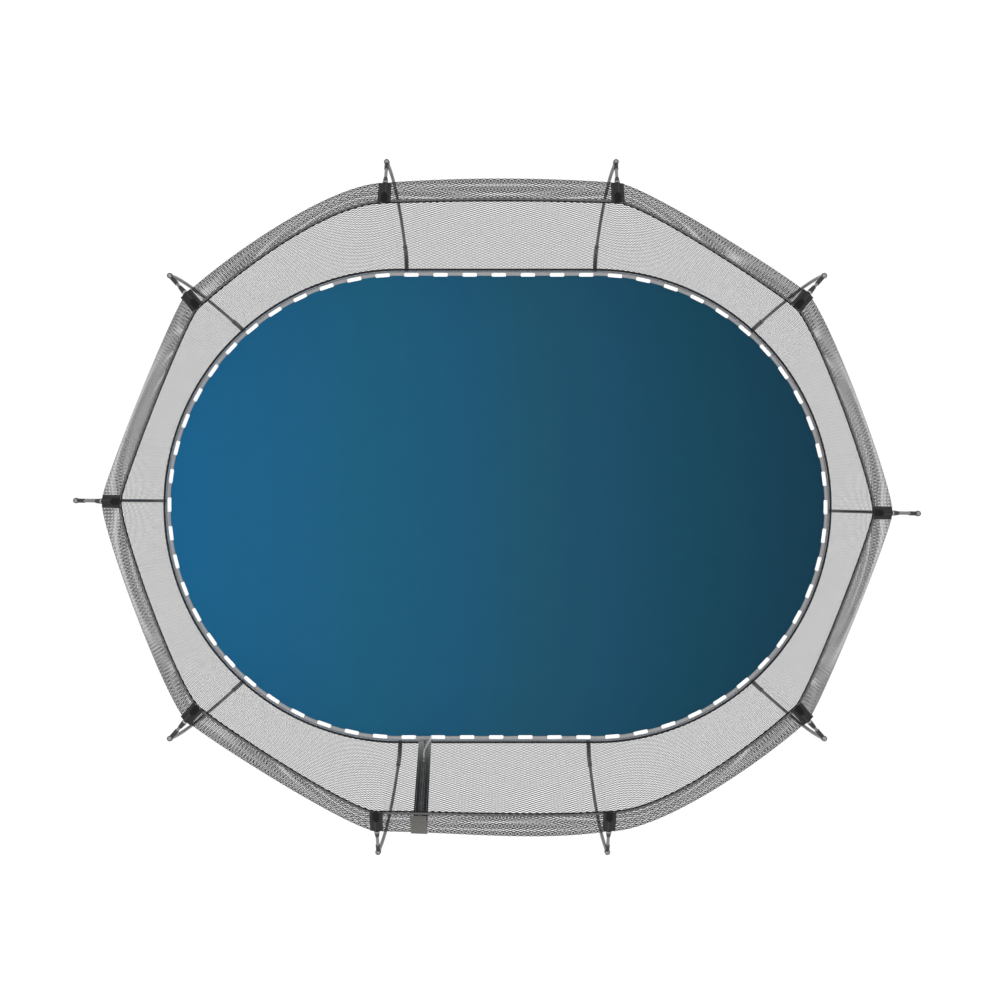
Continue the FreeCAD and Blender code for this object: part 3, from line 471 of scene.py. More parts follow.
mat = matMesh()
matPaint = Paint("mat_weave", Roughness=0.9, Specular_IOR_Level=0.03)
acrossMat, alongMat, _ = matPaint.axes()
# painted shade: the mat's blue is painted darker from one end of the mat to the other
shadedBlue = matPaint.ramp((acrossMat + 1.7) / 3.4, [
    (share, rgb(*shadedBlue)) for share, *shadedBlue in (
        (0.0, 30, 103, 148), (0.058, 31, 100, 141), (0.181, 32, 94, 131), (0.304, 31, 92, 121),
        (0.427, 31, 86, 117), (0.55, 32, 82, 105), (0.673, 30, 76, 102), (0.796, 26, 72, 92),
        (0.918, 26, 67, 88), (1.0, 26, 64, 84))])
threadPitch = 0.0032
weave = acrossMat.wave(threadPitch) * alongMat.wave(threadPitch)
patches = matPaint.noise(9.0, 3.0)
threads = matPaint.noise(14.0, stretch=(1, 40, 1))
matPaint.colour(matPaint.toned(shadedBlue, weave * 0.06 + patches * 0.06 + threads * 0.06 + 0.90))
matPaint.rough(threads * 0.15 + 0.8)
matPaint.bump(weave + threads * 0.6, 0.0004)
matPaint.on(mat)
standsFor(mat, "mat", "jumping_mat")

webbing = ringMesh("Edge_webbing", [(-0.0032, plan["top"] + 0.0002), (-0.0036, plan["top"] + 0.0014),
                                    (-0.0240, plan["top"] + 0.0014), (-0.0246, plan["top"] + 0.0002)])


def squarer(value):
    return math.copysign(abs(value) ** 0.6, value)


hem = {"reach": 0.0068, "height": plan["top"] - 0.0002, "halfWide": 0.0062, "halfTall": 0.0039}
hemProfile = [(hem["reach"] + hem["halfWide"] * squarer(math.cos(turn)),
               hem["height"] + hem["halfTall"] * squarer(math.sin(turn)))
              for turn in (2 * math.pi * spot / 14 for spot in range(14))]
footHem = ringMesh("Net_foot_hem", hemProfile)


def stitched(paint, rows):
    # a mask of stitches from UV in metres: along the tape, and across it at each row
    along, across, _ = paint.axes("UV")
    pitch, share, thick = 0.009, 0.62, 0.0011
    dash = along.dashes(pitch, share)
    mask = None
    for row in rows:
        line = dash * across.near(row, thick / 2)
        mask = line if mask is None else mask.maths("MAXIMUM", line)
    return mask


def tapePaint(name, shade, thread, rows):
    # woven tape: fine ribs across it, light wear, rows of stitches
    paint = Paint(name, Roughness=0.75, Specular_IOR_Level=0.25)
    ribs = 0.0022
    along, across, _ = paint.axes("UV")
    rib = along.wave(ribs) * across.wave(2 * ribs)
    wear = paint.noise(26.0, 3.0)
    dark = tuple(level * 0.72 for level in shade[:3]) + (1.0,)
    base = paint.mixed(rib * 0.25 + wear * 0.5 + 0.2, dark, shade)
    mask = stitched(paint, rows)
    paint.colour(paint.mixed(mask, base, thread))
    paint.rough(wear * 0.3 + 0.55)
    paint.bump(rib * 0.35 + wear * 0.3 + mask, 0.0005)
    return paint


tapePaint("webbing_grey", rgb(166, 166, 168), rgb(120, 120, 124), (0.0045, 0.0190)).on(webbing)
tapePaint("foot_hem_black", rgb(44, 43, 46), rgb(112, 110, 112), (0.0145,)).on(footHem)
standsFor(webbing, "mat", "mat_edge_webbing")
standsFor(footHem, "mat", "net_foot_hem")
print("mat with its webbing and hem")


# ---- white cleats that clamp the mat's edge, one per rod ----

def edit(piece, kind, test, *operations):
    # picks faces or edges by a test, then runs mesh operators on them
    mesh = bmesh.new()
    mesh.from_mesh(piece.data)
    for element in (*mesh.verts, *mesh.edges, *mesh.faces):
        element.select = False
    for element in (mesh.faces if kind == "FACE" else mesh.edges):
        if test(element):
            element.select_set(True)
    mesh.to_mesh(piece.data)
    mesh.free()
    selectOnly(piece)
    bpy.ops.object.mode_set(mode="EDIT")
    bpy.ops.mesh.select_mode(type=kind)
    for operation, settings in operations:
        getattr(bpy.ops.mesh, operation)(**settings)
    bpy.ops.object.mode_set(mode="OBJECT")


def primitive(kind, name, scale=(1, 1, 1), location=(0, 0, 0), rotation=(0, 0, 0), **settings):
    bpy.ops.object.select_all(action="DESELECT")
    getattr(bpy.ops.mesh, f"primitive_{kind}_add")(location=location, rotation=rotation, **settings)
    piece = bpy.context.active_object
    piece.name = piece.data.name = name
    piece.scale = scale
    applyTransform(piece)
    return piece


def joined(name, pieces):
    selectOnly(pieces[0])
    for piece in pieces[1:]:
        piece.select_set(True)
    bpy.ops.object.join()
    whole = bpy.context.active_object
    whole.name = whole.data.name = name
    return whole


cleatSize = {"long": 0.075, "wide": 0.019, "tall": 0.0066, "inset": 0.020, "lift": 0.0022, "count": 64,
             "phase": 0.045}


def cleatMaster():
    body = primitive("cube", "Cleat", (cleatSize["wide"], cleatSize["long"], cleatSize["tall"]),
                     (0, 0, cleatSize["tall"] / 2), size=1)
    edit(body, "EDGE", lambda edge: abs(edge.verts[0].co.z - edge.verts[1].co.z) > 0.001,
         ("bevel", {"offset": 0.0055, "segments": 5}))
    edit(body, "FACE", lambda face: face.normal.z > 0.9,
         ("inset", {"thickness": 0.0018}),
         ("inset", {"thickness": 0.0009, "depth": -0.0012}),
         ("inset", {"thickness": 0.0012, "depth": 0.0009}))
    applyModifier(body, "BEVEL", width=0.0006, segments=2, limit_method="ANGLE")
    smoothByAngle(body)
    screws = []
    for end in (-1, 1):
        head = primitive("cylinder", "Screw", (1, 1, 1), (0, end * 0.026, cleatSize["tall"]),
                         vertices=20, radius=0.0034, depth=0.0012)
        edit(head, "FACE", lambda face: face.normal.z > 0.9,
             ("inset", {"thickness": 0.0008}), ("inset", {"thickness": 0.0004, "depth": -0.0004}))
        smoothByAngle(head)
        screws.append(head)
    return joined("Cleat", [body, *screws])


def movedTo(point, angle):
    return Matrix.Translation(point) @ Matrix.Rotation(angle, 4, "Z")


pitch = edgeLength / cleatSize["count"]
cleatSpots = [edgePoint((number + cleatSize["phase"]) * pitch, -cleatSize["inset"],
                        plan["top"] + cleatSize["lift"]) for number in range(cleatSize["count"])]
cleats = joinedCopies("Rod_cleats", cleatMaster(), [movedTo(point, angle) for point, angle in cleatSpots])
# painted light: the cleats' faint emission is a glow that keeps their white bright
cleatPaint = Paint("cleat_white", Roughness=0.4, Coat_Weight=0.15, Specular_IOR_Level=0.4,
                   Emission_Color=(1, 1, 1, 1), Emission_Strength=0.12)
grime = cleatPaint.noise(60.0, 4.0)
cleatPaint.worn(grime, rgb(252, 252, 252), rgb(238, 240, 240), 0.25, 0.3)
cleatPaint.bump(cleatPaint.noise(900.0), 0.0001)
cleatPaint.on(cleats)
standsFor(cleats, "mat", "rod_cleats")
print("cleats")


# ---- net enclosure: a lattice of hexagonal cells, laid flat and then draped over each bay ----

lattice = {"cell": 0.031, "rise": 0.016, "tie": 0.005, "wallRows": 100, "bandRows": 25, "strand": 0.0071,
           "flatness": 0.08, "columns": (31, 33, 33, 31, 33, 31, 33, 33, 31, 33)}
netNames = ("net_right_back", "net_right_end_back", "net_right_end_front", "net_right_front",
            "net_front_wide", "net_left_front", "net_left_end_front", "net_left_end_back", "net_left_back",
            "net_back")


netSamples = 96


def readAt(wanted, marks, line):
    # points where a line's marks reach the wanted values
    return numpy.stack([numpy.interp(wanted, marks, line[:, axis]) for axis in range(3)], axis=1)


def netCurve(number, name, grown=0.0, height=None):
    # evenly spaced points along the net's fold or top over a bay, grown outwards if asked
    height = heights[name] if height is None else height
    first, last = bays[number]
    start, stop = (planPoint(end, angle, reaches[kind][name] + grown, height)
                   for end, angle, kind in (first, last))
    carry = carries[number % 5]
    near, far = (outwards(facing(end, angle) - quarterTurn) * carry for end, angle, kind in (first, last))
    if first[0] != last[0]:
        # the straight bays bow outwards, the front one only on the side away from its door
        bow = outwards(facing(*first[:2])) * {"fold": 0.024, "top": 0.012}[name]
        near = (stop - start) / 3 + bow * (2 if number == doorBay else 1)
        far = (stop - start) / 3 - bow * (0 if number == doorBay else 1)
    fine = []
    for step in range(4 * netSamples + 1):
        share = step / (4 * netSamples)
        rest = 1 - share
        fine.append(start * rest ** 3 + (start + near) * (3 * rest * rest * share)
                    + (stop - far) * (3 * rest * share * share) + stop * share ** 3)
    fine = numpy.array(fine)
    run = numpy.concatenate(([0], numpy.cumsum(numpy.linalg.norm(numpy.diff(fine, axis=0), axis=1))))
    even = numpy.linspace(0, run[-1], netSamples + 1)
    return readAt(even, run, fine)


def footCurve(number, reach, height):
    (firstEnd, firstAngle, _), (lastEnd, lastAngle, _) = bays[number]
    start, stop = planPoint(firstEnd, firstAngle, reach, height), planPoint(lastEnd, lastAngle, reach, height)
    if firstEnd != lastEnd:
        return numpy.array([start.lerp(stop, step / netSamples) for step in range(netSamples + 1)])
    sweep = (lastAngle - firstAngle) / netSamples
    return numpy.array([planPoint(firstEnd, firstAngle + sweep * step, reach, height)
                        for step in range(netSamples + 1)])


netLines = [(footCurve(number, netReach, heights["foot"]), netCurve(number, "fold", 0.0015),
             netCurve(number, "top", 0.0015)) for number in range(len(bays))]


def withNeighbours(number):
    # the three lines of a bay run on into the bays beside it, so a cell may lie across a pole
    order = [(number + step) % len(bays) for step in (-1, 0, 1)]
    before, after = (lattice["columns"][bay] / lattice["columns"][number] for bay in order[::2])
    even = numpy.linspace(0, 1, len(netLines[number][0]))
    shares = numpy.concatenate(((even[:-1] - 1) * before, even, 1 + even[1:] * after))
    first, middle, last = (netLines[bay] for bay in order)
    return shares, [numpy.concatenate((first[row][:-1], middle[row], last[row][1:])) for row in range(3)]


def netSurface(number, share, level):
    # level 0 is the foot, 1 the fold and 2 the top edge; arrays in, points out
    shares, lines = withNeighbours(number)
    foot, fold, top = (readAt(share, shares, line) for line in lines)
    low = numpy.minimum(level, 1)[:, None]
    high = numpy.maximum(level - 1, 0)[:, None]
    return foot * (1 - low) + fold * (low - high) + top * high


def draped(piece, number):
    # carries a flat piece, in metres along a bay and in levels up it, onto the net's surface
    flat = numpy.empty(len(piece.data.vertices) * 3)
    piece.data.vertices.foreach_get("co", flat)
    flat = flat.reshape(-1, 3)
    share = flat[:, 0] / (lattice["columns"][number] * lattice["cell"])
    rows = flat[:, 1] / lattice["rise"]
    level = rows / lattice["wallRows"]
    level = numpy.where(level > 1, 1 + (rows - lattice["wallRows"]) / lattice["bandRows"], level)
    place = netSurface(number, share, level)
    along = netSurface(number, share + 0.004, level) - place
    up = netSurface(number, share, level + 0.004) - place
    normal = numpy.cross(along, up)
    normal /= numpy.linalg.norm(normal, axis=1)[:, None]
    place += normal * flat[:, 2:3]
    piece.data.vertices.foreach_set("co", place.ravel())
    piece.data.update()


def slitShare(row):
    # where the zip's slit crosses the front bay
    lean = (door["foot"] + door["up"] * (door["long"] * min(row / lattice["wallRows"], 1.0))).x
    right, left = (planPoint(end, angle, 0).x for end, angle, kind in bays[doorBay])
    return (right - lean) / (right - left)


def netMesh(name, number, keep):
    spots, vertices, faces = {}, [], []
    lift = 1 - lattice["tie"] / lattice["rise"]
    for row in range(lattice["wallRows"] + lattice["bandRows"]):
        for column in range(2 * lattice["columns"][number]):
            if (column + row) % 2 or not keep(column / (2 * lattice["columns"][number]), row):
                continue
            face = []
            for corner in ((column, row), (column + 1, row), (column + 1, row + 1), (column, row + 1),
                           (column - 1, row + 1), (column - 1, row)):
                if corner not in spots:
                    spots[corner] = len(vertices)
                    vertices.append((corner[0] * lattice["cell"] / 2, (
                        corner[1] + (lift if sum(corner) % 2 else 0)) * lattice["rise"], 0))
                face.append(spots[corner])
            faces.append(face)
    piece = newObject(name, vertices, faces)
    applyModifier(piece, "WIREFRAME", thickness=lattice["strand"], use_even_offset=False,
                  use_boundary=True)
    piece.scale = (1, 1, lattice["flatness"])
    applyTransform(piece)
    draped(piece, number)
    piece.data.shade_smooth()
    return piece


netPaint = Paint("net_black", Roughness=0.9, Specular_IOR_Level=0.0)
strandTone = netPaint.noise(120.0, 2.0)
netPaint.worn(strandTone, rgb(22, 22, 24), rgb(50, 50, 53), 0.2, 0.75)
netPaint.bump(netPaint.noise(2400.0), 0.0002)


def topLoop(grown, height):
    return numpy.concatenate([netCurve(number, "top", grown, heights["top"] + height)[:-1]
                              for number in range(len(bays))])


topHem = loopedMesh("Net_top_hem", [topLoop(grown, height) for grown, height in (
    (0.0102, -0.0098), (0.0104, -0.0086), (0.0052, -0.0016), (0.0008, 0.0034), (-0.0002, 0.0038),
    (-0.0006, 0.0022), (0.0040, -0.0036), (0.0090, -0.0096))])
tapePaint("top_hem", rgb(82, 82, 84), rgb(116, 116, 118), (0.0068, 0.0118)).on(topHem)
pipe = {"radius": 0.0030, "inset": 0.0041}
piping = loopedMesh("Net_top_piping", [
    topLoop(pipe["radius"] * math.cos(turn) - pipe["inset"], pipe["radius"] * (1 + math.sin(turn)))
    for turn in (2 * math.pi * spot / 10 for spot in range(10))])
pipingPaint = Paint("top_piping", Roughness=0.7, Specular_IOR_Level=0.15)
lay = pipingPaint.axes("UV")[0].wave(0.004)
scuff = pipingPaint.noise(18.0, 3.0)
pipingPaint.worn(scuff, rgb(8, 8, 8), rgb(20, 20, 21), 0.3, 0.5)
pipingPaint.bump(lay, 0.0003)
pipingPaint.on(piping)
standsFor(topHem, "root", "net_top_hem")
standsFor(piping, "root", "net_top_piping")
print("top hem and piping")


# ---- pockets on the band, one for each upper rod ----

def stationFrame(station):
    # origin on the edge of the mat at the pole, X outwards, Y along the edge, Z up from the ground
    end, angle, _ = station
    return Matrix.Translation(planPoint(end, angle, 0)) @ Matrix.Rotation(facing(end, angle), 4, "Z")


def turnedTo(rise):
    # Z along the rise, Y along the edge, X outwards and square to both
    return Matrix((Vector((rise.z, 0, -rise.x)), Vector((0, 1, 0)), rise)).transposed()


def bandTurn(kind):
    reach = reaches[kind]
    return turnedTo(Vector((reach["top"] - reach["fold"], 0, heights["top"] - heights["fold"])).normalized())


pocket = {"wide": 0.057, "fabric": 0.0022, "bulge": 0.0080, "spread": 0.0120, "seat": 0.022, "half": 0.012}


def rodFrame(kind):
    # at the pocket's mouth: X out of the pocket, Y along the edge, Z along the upper rod into it
    apex = Vector((reaches[kind]["apex"], 0, reaches[kind]["apexHeight"]))
    slope = bandTurn(kind)
    top = Vector((reaches[kind]["top"], 0, heights["top"] + 0.0003))
    seat = top + slope @ Vector((0.003 * slope[2][2] + 0.0003, 0, -pocket["seat"])) - apex
    angle = math.atan2(seat.z, -seat.x) + math.asin(pocket["half"] / seat.length)
    rise = Vector((-math.cos(angle), 0, math.sin(angle)))
    mouth = apex + rise * (seat.dot(rise) - reaches[kind]["pocket"])
    return Matrix.Translation(mouth) @ turnedTo(rise).to_4x4()


def eased(value):
    value = min(max(value, 0.0), 1.0)
    return value * value * (3 - 2 * value)


def pocketMesh(kind):
    # a flat sewn sleeve, raised over the rod, that bends down to the net's top edge
    finish = rodFrame(kind).inverted() @ Vector((reaches[kind]["top"] + 0.001, 0, heights["top"] + 0.0045))
    length, sleeve = finish.z, reaches[kind]["pocket"]
    levels = sorted({0.0, 0.0012, 0.004, 0.007, 0.0085, 0.010,
                     *(length * share / 16 for share in range(2, 16)), length - 0.0012, length})
    halfSpots = (0.12, 0.22, 0.32, 0.42, 0.55, 0.7, 0.85, 0.93, 0.985, 1)
    spots = [pocket["wide"] / 2 * value
             for value in (*(-share for share in halfSpots[::-1]), 0, *halfSpots)]
    sections = []
    for level in levels:
        full = 1 - eased((level - sleeve * 0.78) / 0.018)
        middle = finish.x * eased((level - sleeve * 0.72) / (length - sleeve * 0.72))
        lip = 0.0007 if 0.001 < level < 0.0085 else 0.0
        wrinkle = 0.0004 * math.sin(level * 210) * full
        half = 1 - 0.012 * math.sin(level * 46)

        def depth(spot):
            edge = abs(spot) / (pocket["wide"] / 2)
            flat = pocket["fabric"] * (1 if edge < 0.98 else 0.45) + lip * (edge < 0.98)
            return flat + (pocket["bulge"] * full + wrinkle) * math.exp(-(spot / pocket["spread"]) ** 2)
        front = [(middle + depth(spot), spot * half, level) for spot in spots]
        back = [(middle - depth(spot) * 0.9, spot * half, level) for spot in spots[-2:0:-1]]
        sections.append([Vector(point) for point in front + back])
    across = spots + spots[-2:0:-1] + [spots[0]]
    return paintedLoft("Pocket", sections, ([level - length for level in levels], across))


def pocketPaint():
    paint = Paint("pocket_fabric", Roughness=0.8, Specular_IOR_Level=0.15)
    along, across, _ = paint.axes("UV")
    weave = along.wave(0.0016) * across.wave(0.0016)
    wear = paint.noise(40.0, 3.0)
    base = paint.toned(rgb(36, 36, 37), weave * 0.15 + wear * 0.5 + 0.7)
    # a black round-ended patch over the end of the rod, and lighter stitching
    below = (along + 0.034).maths("MINIMUM", 0.0)
    middling = across * across + below * below
    patch, rim = middling < 0.0138 ** 2, middling < 0.0128 ** 2
    base = paint.mixed(patch, base, rgb(13, 13, 14))
    side = across.maths("ABSOLUTE").near(0.0225, 0.0006)
    seam = across.near(-0.005, 0.0009)
    thread = (side * along.dashes(0.006, 0.65)).maths("MAXIMUM", seam * (1 - patch))
    paint.colour(paint.mixed(thread * 0.7, base, rgb(84, 84, 86)))
    paint.rough(wear * 0.25 + 0.6)
    paint.bump(weave * 0.4 + thread + wear * 0.5 + rim * 1.5, 0.0006)
    return paint


pocketCloth = pocketPaint()
pocketPieces = []
for kind in reaches:
    master = pocketMesh(kind)
    pocketCloth.on(master)
    pocketPieces.append(joinedCopies(f"Pockets_{kind}", master, [
        stationFrame(station) @ rodFrame(kind) for station in stations if station[2] == kind]))
pockets = joined("Pole_pockets", pocketPieces)
standsFor(pockets, "root", "pole_pockets")
print("pockets")

# flat panels as sewn: width, length and the share of the rectangle that strands cover
flatNet = {"bay": 1.0, "straightBay": 1.01, "front": 0.88, "narrow": 0.147, "long": 1.79, "strands": 0.42}
slitHalf = 0.018 / (2 * plan["straight"])
nets = []
for number, name in enumerate(netNames):
    if name == "net_front_wide":
        nets.append((netMesh("Net_front_wide", number, lambda share, row: share < slitShare(row) - slitHalf),
                     "net_front_wide", flatNet["front"]))
        nets.append((netMesh("Net_front_narrow", number,
                             lambda share, row: share > slitShare(row) + slitHalf),
                     "net_front_narrow", flatNet["narrow"]))
    else:
        onStraight = bays[number][0][0] != bays[number][1][0]
        nets.append((netMesh(name.capitalize(), number, lambda share, row: True), name,
                     flatNet["straightBay" if onStraight else "bay"]))
for piece, node, wide in nets:
    netPaint.on(piece)
    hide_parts(node)
    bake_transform(piece)
    flatNet["strands"] * wide * flatNet["long"]
print("net panels")


# ---- patch where the door meets the band ----

patchSize = {"wide": 0.072, "long": 0.161, "thick": 0.0016, "lift": 0.0052}


def patchMesh():
    # a turned-under, quilted piece of cloth laid on the band's outer face
    bay = lattice["columns"][doorBay] * lattice["cell"]
    _, foldLine, topLine = netLines[doorBay]
    bayLength = math.dist(foldLine[0], foldLine[-1])
    bandLength = math.dist(foldLine[netSamples // 2], topLine[netSamples // 2])
    middle, fold = slitShare(lattice["wallRows"]) * bay, lattice["wallRows"] * lattice["rise"]
    climb = lattice["bandRows"] * lattice["rise"] / bandLength
    half = patchSize["wide"] / 2 * bay / bayLength
    halfShares = (0.25, 0.5, 0.7, 0.86, 0.90, 0.95, 0.985, 1)
    shares = (*(-share for share in halfShares[::-1]), 0, *halfShares)
    levels = [0.0, 0.0008, 0.002, 0.005, 0.0062, *(0.010 + 0.0094 * step for step in range(16)),
              0.1548, 0.156, 0.159, 0.1602, patchSize["long"]]
    sections = []
    for level in levels:
        edge = min(level, patchSize["long"] - level)

        def depth(share):
            hem = 0.0008 * (abs(share) > 0.87 or edge < 0.0055) * (abs(share) < 0.99) * (edge > 0.0005)
            puff = 0.0007 * math.sin(level * 150) * math.cos(share * 5) * (1 - abs(share))
            return -patchSize["lift"] - patchSize["thick"] / 2 - hem - puff
        inner = [(middle + share * half, fold + level * climb, -patchSize["lift"] + patchSize["thick"] / 2)
                 for share in shares]
        outer = [(middle + share * half, fold + level * climb, depth(share)) for share in shares[::-1]]
        sections.append([Vector(point) for point in inner + outer])
    across = [share * patchSize["wide"] / 2 for share in shares + shares[::-1] + shares[:1]]
    piece = paintedLoft("Door_patch", sections, (levels, across))
    draped(piece, doorBay)
    return piece


def strapPaint(name, stops, rows, thread, extra=0.0):
    # ribbed woven cloth, its colour graded along its length as painted light and shade, with stitching at
    # some offsets
    paint = Paint(name, Roughness=0.85, Specular_IOR_Level=0.15)
    stitch, seamHalf = (0.0065, 0.62), 0.0006
    along, across, _ = paint.axes("UV")
    ribs = along.wave(0.0018) * 0.5 + 0.5
    warp = across.wave(0.0012) * 0.5 + 0.5
    wear = paint.noise(45.0, 4.0)
    length = stops[-1][0]
    shade = paint.ramp(along / length, [(place / length, rgb(tone, tone * 0.985, tone * 0.955))
                                        for place, tone in stops])
    base = paint.toned(shade, ribs * 0.10 + wear * 0.40 + 0.75)
    row = None
    for offset in rows:
        line = across.maths("ABSOLUTE").near(offset, seamHalf)
        row = line if row is None else row.maths("MAXIMUM", line)
    dash = row * along.dashes(*stitch)
    if extra:
        ends = (along - extra).maths("ABSOLUTE").near(extra - 0.004, seamHalf)
        dash = dash.maths("MAXIMUM", ends * across.dashes(*stitch))
    paint.colour(paint.mixed(dash, base, rgb(*thread)))
    paint.rough(wear * 0.2 + 0.7)
    paint.bump(ribs * 0.4 + warp * 0.3 + dash + wear * 0.4, 0.0004)
    return paint


doorPatch = patchMesh()
# painted light: the patch's lighter grey stands in for light falling on it from above, a little darker
# towards its upper end
strapPaint("patch_cloth", [(0.0, 92), (patchSize["long"], 84)], (0.0322,), (128, 128, 130),
           extra=0.0805).on(doorPatch)
standsFor(doorPatch, "root", "door_patch")
print("door patch")


# ---- zip: tapes, covered foot, coil, top stop, slider and pull tab ----

zipSize = {"low": 0.0008, "long": 1.6124, "tapeWide": 0.029, "coverTop": 0.3997, "edgeFoot": 0.398,
           "coilFoot": 0.400, "coilTop": 1.560, "pitch": 0.0025}


def strip(name, profile, low, high, steps, sway=0.0):
    # a flat profile, as (across, front, back) from left to right, run up the door
    levels = [low + (high - low) * step / steps for step in range(steps + 1)]
    sections = []
    for level in levels:
        drift = sway * math.sin(level * 31) * math.sin(math.pi * (level - low) / (high - low))
        front = [Vector((across, near + drift, level)) for across, near, far in profile]
        back = [Vector((across, far + drift, level)) for across, near, far in profile[::-1]]
        sections.append([doorFrame @ point for point in front + back])
    marks = [across for across, near, far in profile + profile[::-1] + profile[:1]]
    return paintedLoft(name, sections, ([level - low for level in levels], marks))


def tapeMesh(name, side):
    # a woven tape with a corded outer edge; side is -1 on the left and 1 on the right
    outline = [(0.0040, 0.0010, 0.0016), (0.0044, 0.0005, 0.0021), (0.0080, 0.0004, 0.0022),
               (0.0120, 0.0005, 0.0021), (0.0200, 0.0005, 0.0021), (0.0262, 0.0005, 0.0021),
               (0.0276, 0.0001, 0.0025), (0.0290, -0.0004, 0.0030), (0.0303, -0.0006, 0.0032),
               (0.0315, -0.0003, 0.0029), (0.0323, 0.0003, 0.0023), (0.0327, 0.0010, 0.0016)]
    profile = [(across * side, near, far) for across, near, far in outline[::side]]
    return strip(name, profile, zipSize["low"], zipSize["low"] + zipSize["long"], 150, 0.0004)


# painted light and shade: the tapes' grey is painted light at the foot and dark at the top
tapeShadeStops = [(0.0, 172), (0.20, 124), (0.45, 72), (0.80, 46), (zipSize["long"], 30)]
tapeCloth = strapPaint("zip_tape", tapeShadeStops, (0.0102, 0.0252), (150, 150, 152), 0.005)
for name, node, side in (("Zip_tape_left", "zip_tape_left", -1), ("Zip_tape_right", "zip_tape_right", 1)):
    tape = tapeMesh(name, side)
    tapeCloth.on(tape)
    standsFor(tape, "root", node)

coverProfile = [(-0.0035, 0.0012, 0.0030), (-0.0032, 0.0005, 0.0038), (-0.0022, 0.0003, 0.0043),
                (0, 0.0003, 0.0041), (0.0022, 0.0003, 0.0043), (0.0032, 0.0005, 0.0038),
                (0.0035, 0.0012, 0.0030)]
cover = strip("Zip_sill", coverProfile, zipSize["low"], zipSize["coverTop"], 60)
# painted shade: the cover's grey is painted darker towards its top
strapPaint("zip_cover", [(0.0, 84), (0.40, 70)], (0.0024,), (120, 120, 122), 0.004).on(cover)
standsFor(cover, "root", "zip_sill")

# one interlocked pair of coil teeth, repeated up the door
toothPieces = []
for side in (-1, 1):
    toothPieces.append(primitive(
        "torus", "Tooth", (1.15, 0.62, 0.55), (side * 0.0009, 0.0031, (side + 1) * zipSize["pitch"] / 4),
        major_segments=14, minor_segments=6, major_radius=0.0019, minor_radius=0.00062))
toothMaster = joined("Teeth", toothPieces)
toothMaster.data.shade_smooth()
coilPaint = Paint("zip_coil", Roughness=0.38, Coat_Weight=0.2)
coilWear = coilPaint.noise(90.0, 3.0)
coilPaint.worn(coilWear, rgb(24, 24, 26), rgb(58, 58, 60), 0.25, 0.25)
coilPaint.on(toothMaster)
coilCount = round((zipSize["coilTop"] - zipSize["coilFoot"]) / zipSize["pitch"])
teeth = joinedCopies("Teeth_row", toothMaster, [
    doorFrame @ Matrix.Translation((0, 0, zipSize["coilFoot"] + (step + 0.25) * zipSize["pitch"]))
    for step in range(coilCount)])
# the closed edges of the tapes meet behind the teeth
edgeProfile = [(-0.0046, 0.0012, 0.0016), (-0.0040, 0.0007, 0.0019), (0, 0.0006, 0.0019),
               (0.0040, 0.0007, 0.0019), (0.0046, 0.0012, 0.0016)]
edges = strip("Tape_edges", edgeProfile, zipSize["edgeFoot"], zipSize["coilTop"], 60)
tapeCloth.on(edges)
coil = joined("Zip_coil", [teeth, edges])
standsFor(coil, "root", "zip_coil")
print("zip tapes and coil")


def bevelled(name, size, middle, width, segments=3, top=1.0):
    # a rounded block, its upper end narrowed by top
    block = primitive("cube", name, size, middle, size=1.0)
    high = middle[2] + size[2] / 4
    for vertex in block.data.vertices:
        if vertex.co.z > high:
            vertex.co.x = middle[0] + (vertex.co.x - middle[0]) * top
    applyModifier(block, "BEVEL", width=width, segments=segments, limit_method="ANGLE")
    smoothByAngle(block)
    return block


def holed(piece, radius, middle):
    # bores a round hole through a piece from front to back
    drill = primitive("cylinder", "Drill", (1, 1, 1), middle, (math.pi / 2, 0, 0), vertices=40, radius=radius,
                      depth=0.03)
    applyModifier(piece, "BOOLEAN", operation="DIFFERENCE", object=drill, solver="EXACT")
    bpy.data.objects.remove(drill)
    smoothByAngle(piece)


slideMetal = Paint("slider_metal", Metallic=1.0, Roughness=0.35)
brushed = slideMetal.noise(3.0, 3.0, (500, 500, 60))
slideMetal.worn(brushed, rgb(120, 121, 124), rgb(178, 179, 182), 0.25, 0.22)
slideMetal.bump(brushed, 0.00008)

stop = bevelled("Zip_top_stop", (0.0078, 0.0056, 0.0066), (0, 0.0034, 1.5638), 0.0009)
edit(stop, "FACE", lambda face: face.normal.y > 0.9 and face.calc_area() > 0.00001,
     ("inset", {"thickness": 0.0009}), ("inset", {"thickness": 0.0003, "depth": -0.0004}))
# slider: two shield-shaped plates joined by a neck, with a bridge to carry the tab
plates = [bevelled("Slider", (0.0148, 0.0020, 0.0250), (0, 0.0057, 0.420), 0.0009, 3, 0.72),
          bevelled("Back_plate", (0.0136, 0.0014, 0.0220), (0, 0.0086, 0.420), 0.0006, 3, 0.78),
          bevelled("Neck", (0.0044, 0.0040, 0.0060), (0, 0.0071, 0.4285), 0.0006, 2)]
edit(plates[1], "FACE", lambda face: face.normal.y > 0.9 and face.calc_area() > 0.00005,
     ("inset", {"thickness": 0.0016}), ("inset", {"thickness": 0.0003, "depth": -0.0003}))
bridge = primitive("torus", "Bridge", (0.55, 1, 1.25), (0, 0.0092, 0.4170), (0, math.pi / 2, 0),
                   major_segments=36, minor_segments=12, major_radius=0.0026, minor_radius=0.0008)
bridge.data.shade_smooth()
slider = joined("Zip_slider", [*plates, bridge])
tab = bevelled("Zip_pull_tab", (0.0108, 0.0026, 0.0336), (0, 0.0144, 0.4007), 0.0012, 4, 0.78)
holed(tab, 0.0023, (0, 0.0144, 0.4118))
holed(tab, 0.0024, (0, 0.0144, 0.3882))
